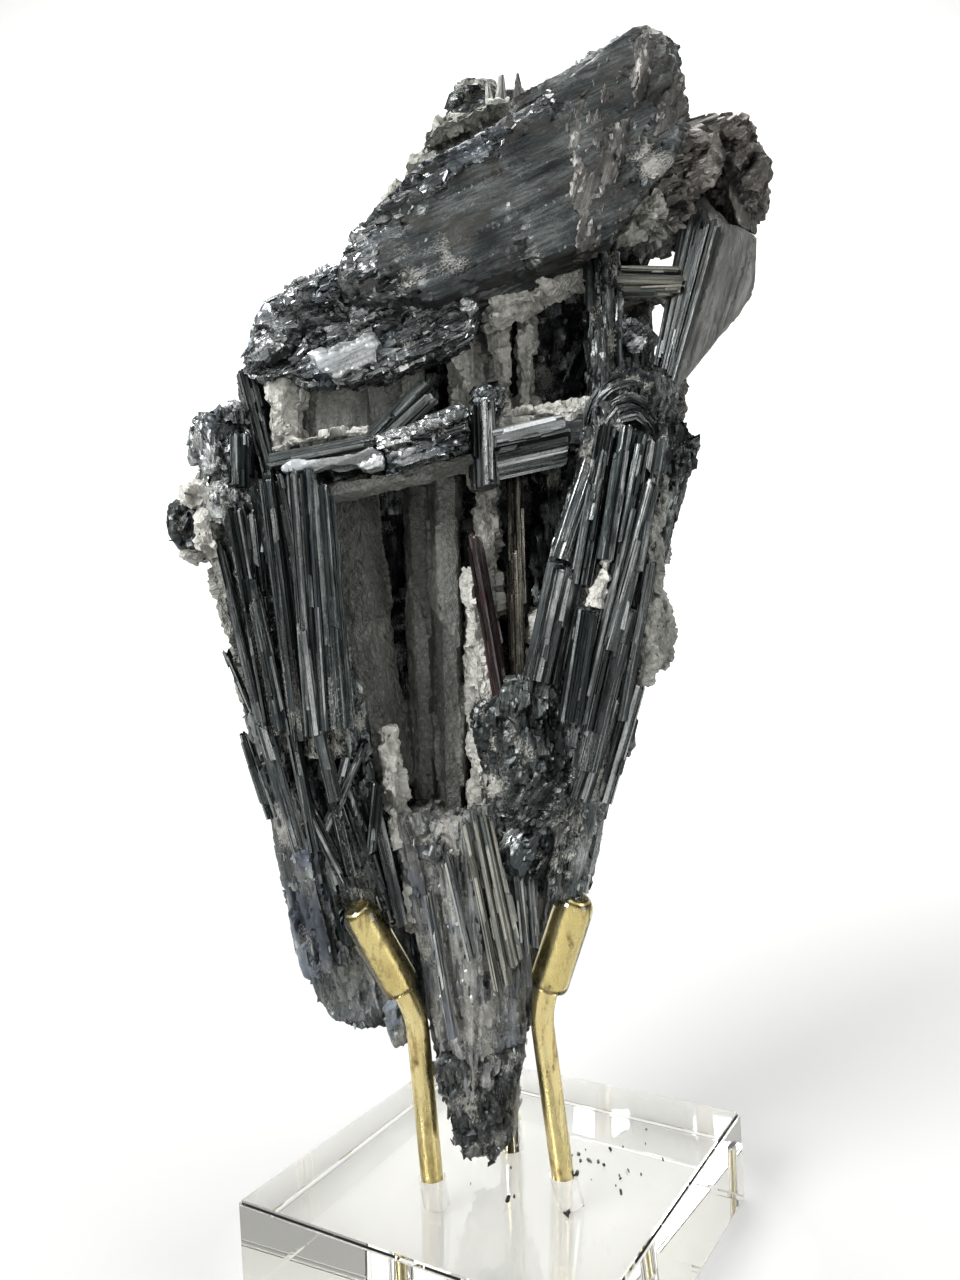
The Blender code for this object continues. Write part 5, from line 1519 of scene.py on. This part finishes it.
def add_ribbon(soup, path, width, thickness, rng, tone):
    """A curved lath along a path of points, facing the front."""
    path = np.array(path)
    count = len(path)
    ahead = np.gradient(path, axis=0)
    ahead /= np.linalg.norm(ahead, axis=1)[:, None]
    side = np.cross(ahead, (0, -1.0, 0))
    side /= np.linalg.norm(side, axis=1)[:, None]
    taper = np.sqrt(np.clip(1 - np.abs(np.linspace(-1.05, 1.05, count)) ** 3, 0.05, 1))
    section = ((-0.5, 0.6), (-0.42, -0.3), (-0.1, -0.5), (0.12, -0.36), (0.44, -0.45), (0.5, 0.6))
    rings = []
    for across, deep in section:
        wave = rng.uniform(-0.08, 0.08, count)
        shift = side * ((across + wave) * width * taper)[:, None]
        rings.append(path + shift + np.array((0, deep * thickness, 0)))
    local = np.stack(rings, axis=1).reshape(-1, 3)
    sides = len(section)
    around = np.arange(sides)
    quads = [band[:, (0, 3, 2, 1)] for band in ring_quads(sides, count)]
    ends = [around[None], (around + sides * (count - 1))[::-1][None]]
    across = np.tile(np.array(section)[:, 0] * width, count)
    along = np.repeat(np.linspace(0, 20, count), sides)
    grain = np.column_stack((across, local[:, 1], along)) + rng.uniform(0, 400, 3)
    soup.add(local, quads + ends, grain, tone, coat=-0.2)


def arch_layers():
    """Thin curved sheets, one inside another."""
    rng = np.random.default_rng(ARCH_SEED)
    soup = Soup()
    line = np.array(ARCH)
    middle = np.array(ARCH_MIDDLE)
    for n in range(ARCH_LAYERS):
        size = ARCH_INNER + 0.75 * (n + rng.uniform(-0.4, 0.4)) / (ARCH_LAYERS - 1)
        low, high = rng.uniform(0, 0.4), rng.uniform(0.55, 1)
        at = np.linspace(low, high, 12) * (len(line) - 1)
        flat = np.column_stack([np.interp(at, np.arange(len(line)), line[:, k]) for k in range(2)])
        flat = middle + (flat - middle) * (size, size)
        flat += rng.uniform(-0.12, 0.12, flat.shape)
        y = ARCH_FRONT + 4 * (size - ARCH_INNER) ** 2 + 0.06 * (flat[:, 0] - middle[0]) ** 2
        y += rng.uniform(-0.3, 0.5)
        path = np.column_stack((flat[:, 0], y, flat[:, 1]))
        add_ribbon(soup, path, rng.uniform(0.5, 1.1), rng.uniform(0.8, 1.4), rng, rng.uniform(0.2, 0.8))
    return soup


RIB_SEED = 8
RIB_COUNT = 11
RIB_CORNERS = ((24.7, -9.2, 117), (25.9, -11.6, 113.2), (30, -8.6, 137.6), (33.6, -11.4, 135.2))


def wing_ribs():
    """Ribs along the dark left face of the wing, which meet at its foot."""
    rng = random.Random(RIB_SEED)
    low_left, low_right, high_left, high_right = (Vector(corner) for corner in RIB_CORNERS)
    blades = []
    for n in range(RIB_COUNT):
        at = (n + 0.5) / RIB_COUNT
        foot = low_left.lerp(low_right, at)
        head = high_left.lerp(high_right, at)
        foot += (head - foot) * rng.uniform(0.0, 0.12)
        head -= (head - foot) * rng.uniform(0.0, 0.1)
        blades.append(Blade("rib", tuple(foot), tuple(head), 0.46, 1.2, -30 + rng.uniform(-12, 12), 1.6))
    return blades


ROCK_SMOOTH = 32


def build_rock(rock, material, rng):
    """One fused rough piece, and the chips that lie on it."""
    made = rough_rock(rock, [NAMED.get(name, name) for name in rock.sources], rng)
    soup = Soup()
    soup.add(made.points, made.faces, made.grain, made.tone, made.relief, made.coat)
    rock_piece(rock.name, soup, material, ROCK_SMOOTH, rock.keep)
    if rock.chips:
        chips = Soup()
        scatter_chips(chips, made, rng, rock.chips)
        rock_piece(rock.name + "_chips", chips, material)


def build_clean(clean, material, rng):
    """One piece of clean prisms, split lengthways."""
    soup = Soup()
    for name in clean.sources:
        for blade in splinters(NAMED[name], rng, clean.split):
            tone = rng.uniform(0.3, 0.65)
            add_crystal(soup, blade, rng, clean.pitch, clean.groove, 3, clean.jag, tone)
        add_laths(soup, NAMED[name], rng, clean.laths)
    rock_piece(clean.name, soup, material)


def build_front(front, material, rng):
    """The long blades at the front that share a finish."""
    soup = Soup()
    for numbers in front.blades:
        blade = Blade(front.name, *numbers)
        add_crystal(soup, blade, rng, front.pitch, 0.07, 4, 0.9, rng.uniform(0.15, 0.55), -0.2)
        add_laths(soup, blade, rng, front.laths, 0.2, 0.6)
    rock_piece(front.name, soup, material)


def build_back(name, blades, material, rng):
    """Rows of the back's blades, each split into splinters."""
    soup = Soup()
    for whole in blades:
        for blade in splinters(whole, rng, 3):
            add_crystal(soup, blade, rng, 0.95, 0.14, 3, 1.4, rng.uniform(0.2, 0.6), -0.1)
        add_laths(soup, whole, rng, 16, 0.35, 0.45)
    rock_piece(name, soup, material)


def build_specimen():
    rng = np.random.default_rng(SEED)
    materials = {name: stone(name) for name in (*FINISHES, *DRUSES)}
    for rock in ROCKS:
        build_rock(rock, materials[rock.finish], rng)
    for clean in CLEANS:
        build_clean(clean, materials[clean.finish], rng)
    for front in FRONTS:
        build_front(front, materials[front.finish], rng)
    ribs = Soup()
    for blade in wing_ribs():
        add_crystal(ribs, blade, rng, 0.3, 0.05, 3, 0.6, rng.uniform(0.0, 0.35), -0.4)
    rock_piece("wing_ribs", ribs, materials["slate"])
    rock_piece("arch_layers", arch_layers(), materials["dark"])
    backs = back_blades()
    low_count = sum(row.count for row in BACK_ROWS[:2])
    build_back("back_blades_low", backs[:low_count], materials["blue"], rng)
    build_back("back_blades_high", backs[low_count:], materials["mixed"], rng)


# ---------------------------------------------------------------- the stand


def rod_seat(rod):
    foot = Vector(rod.foot)
    slope = (foot - Vector(rod.elbow)) / (rod.elbow[2] - rod.foot[2])
    return foot + slope * (BLOCK_HEIGHT - ROD_SEAT)


def rod_path(rod):
    """Seat, a rounded elbow, and a tip that reaches on into the sleeve's crown."""
    start = rod_seat(rod)
    elbow, tip = Vector(rod.elbow), Vector(rod.tip)
    before = elbow + (start - elbow).normalized() * BEND
    after = elbow + (tip - elbow).normalized() * BEND
    path = [start]
    for i in range(ELBOW_STEPS + 1):
        t = i / ELBOW_STEPS
        path.append(before * (1 - t) ** 2 + elbow * (2 * t * (1 - t)) + after * t**2)
    return path + [tip + (tip - elbow).normalized() * ROD_REACH]


def circle(sides):
    return [2 * math.pi * i / sides for i in range(sides)]


def band_faces(sides, rings):
    return [quad for band in ring_quads(sides, rings) for quad in band.tolist()]


def turned(profile):
    """Points and faces of (radius, height) points turned about Z."""
    points = [
        (radius * math.cos(a), radius * math.sin(a), height)
        for radius, height in profile
        for a in circle(TURNED_SIDES)
    ]
    return points, band_faces(TURNED_SIDES, len(profile))


def simple_object(name, points, faces, smooth=35):
    """An object in metres from points in millimetres, smooth but for edges sharper than an angle."""
    mesh = bpy.data.meshes.new(name)
    mesh.from_pydata([Vector(p) * MM for p in points], [], faces)
    mesh.validate()
    bm = bmesh.new()
    bm.from_mesh(mesh)
    bmesh.ops.remove_doubles(bm, verts=bm.verts, dist=1e-7)
    bmesh.ops.recalc_face_normals(bm, faces=bm.faces)
    bm.to_mesh(mesh)
    bm.free()
    if smooth:
        shade(mesh, smooth)
    return placed(name, mesh)


def stand_along(obj, low, direction):
    """Moves a shape made along Z to a point in millimetres, and turns it along a direction."""
    turn = direction.to_track_quat("Z", "Y").to_matrix().to_4x4()
    obj.data.transform(Matrix.Translation(low * MM) @ turn)


def make_rod(rod, material):
    """A round rod along its path, with a filed edge at the tip."""
    path = rod_path(rod)
    frames = []
    for n, place in enumerate(path):
        along = (path[min(n + 1, len(path) - 1)] - path[max(n - 1, 0)]).normalized()
        side = Vector((1, 0, 0)).cross(along).normalized()
        frames.append((place, side, along.cross(side), along))
    rings = [(frames[0], ROD_RADIUS * 0.9, 0.0)] + [(frame, ROD_RADIUS, 0.0) for frame in frames[:-1]]
    rings += [(frames[-1], ROD_RADIUS, -ROD_EDGE), (frames[-1], ROD_RADIUS - ROD_EDGE, 0.0)]
    points = [
        place + along * shift + side * radius * math.cos(a) + other * radius * math.sin(a)
        for (place, side, other, along), radius, shift in rings
        for a in circle(ROD_SIDES)
    ]
    first = list(range(ROD_SIDES))
    last = [(len(rings) - 1) * ROD_SIDES + i for i in first]
    faces = band_faces(ROD_SIDES, len(rings)) + [first[::-1], last]
    obj = simple_object("rod_" + rod.name, points, faces)
    part_piece(obj, material, "brass", "brass_rod_" + rod.name)


def make_sleeve(rod, material):
    """A clear round-ended cap that clings to its rod, so the brass seems to fill it."""
    tip = Vector(rod.tip)
    up = (tip - Vector(rod.elbow)).normalized()
    top = tip + up * (GAP + SLEEVE_CROWN)
    low = top - up * SLEEVE_LENGTH
    lip = [(SLEEVE_RADIUS - inset, height) for inset, height in SLEEVE_LIP]
    dome = [
        (SLEEVE_RADIUS * math.cos(a), SLEEVE_LENGTH - SLEEVE_RADIUS + SLEEVE_RADIUS * math.sin(a))
        for a in (math.pi / 2 * i / DOME_STEPS for i in range(DOME_STEPS))
    ]
    points, quads = turned([(0.0, 0.0), *lip, *dome, (0.0, SLEEVE_LENGTH)])
    obj = simple_object("sleeve_" + rod.name, points, quads)
    stand_along(obj, low, top - low)
    part_piece(obj, material, "vinyl", "tip_sleeve_" + rod.name)


def hole_cutter(rod):
    """What a rod's blind hole takes out of the block, a little wider and deeper than the rod."""
    seat = rod_seat(rod)
    reach = Vector(rod.foot) - seat
    up = reach.normalized()
    length = reach.length + GAP + HOLE_PROUD
    radius = ROD_RADIUS + GAP
    profile = [(0, 0), (radius - HOLE_EDGE, 0), (radius, HOLE_EDGE), (radius, length), (0, length)]
    cutter = simple_object("hole", *turned(profile), smooth=0)
    stand_along(cutter, seat - up * GAP, up)
    return cutter


def make_block(material):
    """The acrylic block, with polished edges and blind holes."""
    bm = bmesh.new()
    bmesh.ops.create_cube(bm, size=1.0)
    bmesh.ops.scale(bm, vec=[k * MM for k in (BLOCK_SIDE, BLOCK_SIDE, BLOCK_HEIGHT)], verts=bm.verts)
    bmesh.ops.bevel(bm, geom=bm.edges, offset=BLOCK_EDGE * MM, segments=3, affect="EDGES")
    lift = Matrix.Translation((0, 0, BLOCK_HEIGHT / 2 * MM))
    turn = Matrix.Rotation(math.radians(BLOCK_TURN), 4, "Z")
    bmesh.ops.transform(bm, matrix=lift @ turn, verts=bm.verts)
    mesh = bpy.data.meshes.new("acrylic_base")
    bm.to_mesh(mesh)
    bm.free()
    block = placed("acrylic_base", mesh)
    cutters = [hole_cutter(rod) for rod in RODS]
    for cutter in cutters:
        cut = block.modifiers.new("Hole", "BOOLEAN")
        cut.operation = "DIFFERENCE"
        cut.object = cutter
    solid = evaluated_mesh(block)
    block.modifiers.clear()
    block.data = solid
    for cutter in cutters:
        bpy.data.objects.remove(cutter)
    shade(solid, 28)
    solid.materials.clear()
    part_piece(block, material, "acrylic", "acrylic_block")


CRUMB_SEED = 9
CRUMB_COUNT = 46
CRUMB_MIDDLE = (13, -8)
CRUMB_SPREAD = (7, 6)
CRUMB_LIMIT = 26


def make_crumbs(material):
    """Grains of stibnite that have fallen on the block."""
    rng = np.random.default_rng(CRUMB_SEED)
    soup = Soup()
    for _ in range(CRUMB_COUNT):
        x, y = rng.normal(CRUMB_MIDDLE, CRUMB_SPREAD)
        if abs(x) + abs(y) > CRUMB_LIMIT:
            continue
        size = rng.uniform(0.08, 0.3)
        half = np.array((size, size * 0.7, size * rng.uniform(0.8, 1.8)))
        lie = tilted(np.array(((0, 0, 1.0), (1.0, 0, 0), (0, 1.0, 0))), rng, 20, 90)
        add_shard(soup, np.array((x, y, BLOCK_HEIGHT + size * 0.7)), lie, half, rng, rng.random())
    rock_piece("crumbs", soup, material)


def build_stand():
    metal = brass()
    make_block(clear("clear_acrylic", 1.49, (0.99, 0.99, 0.98), (0.975, 0.96, 0.83), 8.0, 0.02))
    vinyl = clear("clear_vinyl", 1.47, (0.94, 0.93, 0.82), (0.9, 0.88, 0.66), 170.0, 0.1)
    for rod in RODS:
        make_rod(rod, metal)
        make_sleeve(rod, vinyl)


# ---------------------------------------------------------------- the studio


# In metres, but for the paper's colour and how strongly it glows near the stand and away from it
PAPER = (0.44, 0.44, 0.434)
GLOW_RADII = (0.016, 0.042)
GLOW_STRENGTHS = (0.8, 0.05)
SWEEP_SIDE = 2.0
SWEEP_FRONT = -1.6
SWEEP_BEND = 0.7
SWEEP_RADIUS = 0.5
SWEEP_TOP = 2.2
SWEEP_DROP = 0.00005
CAMERA_PLACE = Vector((0.4, -137.4, 84.5)) * MM
CAMERA_PITCH = math.radians(0.39)
CAMERA_ROLL = math.radians(-2.99)


def paper():
    """Pale paper with a soft glow round the stand's foot."""
    t = Tree("white_paper")
    place = t.node("ShaderNodeTexCoord").outputs["Object"]
    mottle = t.spread(t.noise(place, (6, 6, 6), 4.0), 0.3, 0.7, 0.96, 1.0)
    tint = t.mixed(mottle, (*[k * 0.96 for k in PAPER], 1), (*PAPER, 1))
    t.shader.inputs["Emission Color"].default_value = (*PAPER, 1)
    away = t.node("ShaderNodeVectorMath", operation="LENGTH")
    t.link(place, away.inputs[0])
    glow = t.spread(away.outputs["Value"], *GLOW_RADII, *GLOW_STRENGTHS)
    t.link(glow, t.shader.inputs["Emission Strength"])
    t.shader.inputs["Specular IOR Level"].default_value = 0.2
    t.link(tint, t.shader.inputs["Base Color"])
    t.shader.inputs["Roughness"].default_value = 0.8
    return t.material


def make_stage():
    """A white sweep: floor, a wide curve, and a wall behind."""
    profile = [(SWEEP_FRONT, 0.0)]
    for i in range(17):
        a = math.pi / 2 * i / 16
        profile.append((SWEEP_BEND + SWEEP_RADIUS * math.sin(a), SWEEP_RADIUS * (1 - math.cos(a))))
    profile.append((SWEEP_BEND + SWEEP_RADIUS, SWEEP_TOP))
    points, faces = [], []
    for y, z in profile:
        points += [(x / MM, y / MM, (z - SWEEP_DROP) / MM) for x in (-SWEEP_SIDE, SWEEP_SIDE)]
    for n in range(len(profile) - 1):
        faces.append((2 * n, 2 * n + 1, 2 * n + 3, 2 * n + 2))
    sweep = simple_object("white_sweep", points, faces, 60)
    sweep.data.materials.append(paper())


def soft_light(name, place, aim, size, power):
    lamp = bpy.data.lights.new(name, "AREA")
    lamp.shape = "RECTANGLE"
    lamp.size, lamp.size_y = size
    lamp.energy = power
    obj = placed(name, lamp)
    obj.location = Vector(place)
    obj.rotation_mode = "QUATERNION"
    obj.rotation_quaternion = (Vector(aim) - Vector(place)).to_track_quat("-Z", "Y")


def light_studio():
    world = bpy.data.worlds.new("soft_room")
    world.use_nodes = True
    tree = world.node_tree
    background = tree.nodes["Background"]
    place = tree.nodes.new("ShaderNodeTexCoord")
    facing = tree.nodes.new("ShaderNodeVectorMath")
    facing.operation = "DOT_PRODUCT"
    facing.inputs[1].default_value = (-0.35, 0.3, 0.88)
    shade = tree.nodes.new("ShaderNodeMapRange")
    tree.links.new(place.outputs["Generated"], facing.inputs[0])
    tree.links.new(facing.outputs["Value"], shade.inputs[0])
    for value, socket in zip((-0.5, 0.9, 0.1, 0.7), shade.inputs[1:5]):
        socket.default_value = value
    tree.links.new(shade.outputs[0], background.inputs["Strength"])
    background.inputs["Color"].default_value = (1.0, 1.0, 1.0, 1)
    bpy.context.scene.world = world
    centre = (0, 0, 0.085)
    soft_light("key", (-0.46, -0.42, 0.5), centre, (0.32, 0.32), 8.5)
    soft_light("top", (0.1, 0.15, 0.75), centre, (0.7, 0.5), 6.0)
    soft_light("fill", (0.65, -0.35, 0.22), centre, (0.3, 0.6), 3.0)
    soft_light("front", (0.12, -0.75, 0.2), centre, (0.3, 0.3), 0.6)
    soft_light("wash", (0.0, 0.5, 0.75), (0, 1.2, 0.3), (1.6, 0.4), 26.0)


def make_camera():
    ahead = Vector((0, math.cos(CAMERA_PITCH), -math.sin(CAMERA_PITCH)))
    up = Vector((0, math.sin(CAMERA_PITCH), math.cos(CAMERA_PITCH)))
    right = Vector((1, 0, 0))
    across = math.cos(CAMERA_ROLL) * right + math.sin(CAMERA_ROLL) * up
    above = math.cos(CAMERA_ROLL) * up - math.sin(CAMERA_ROLL) * right
    data = bpy.data.cameras.new("camera")
    data.lens = 28.125
    data.sensor_width = 36
    data.clip_start = 0.001
    camera = placed("camera", data)
    turn = Matrix((across, above, -ahead)).transposed().to_4x4()
    camera.matrix_world = Matrix.Translation(CAMERA_PLACE) @ turn
    bpy.context.scene.camera = camera


def main():
    bpy.context.scene.view_settings.view_transform = "Standard"
    build_specimen()
    build_stand()
    make_crumbs(bpy.data.materials["stibnite_dark"])
    make_stage()
    light_studio()
    make_camera()


main()
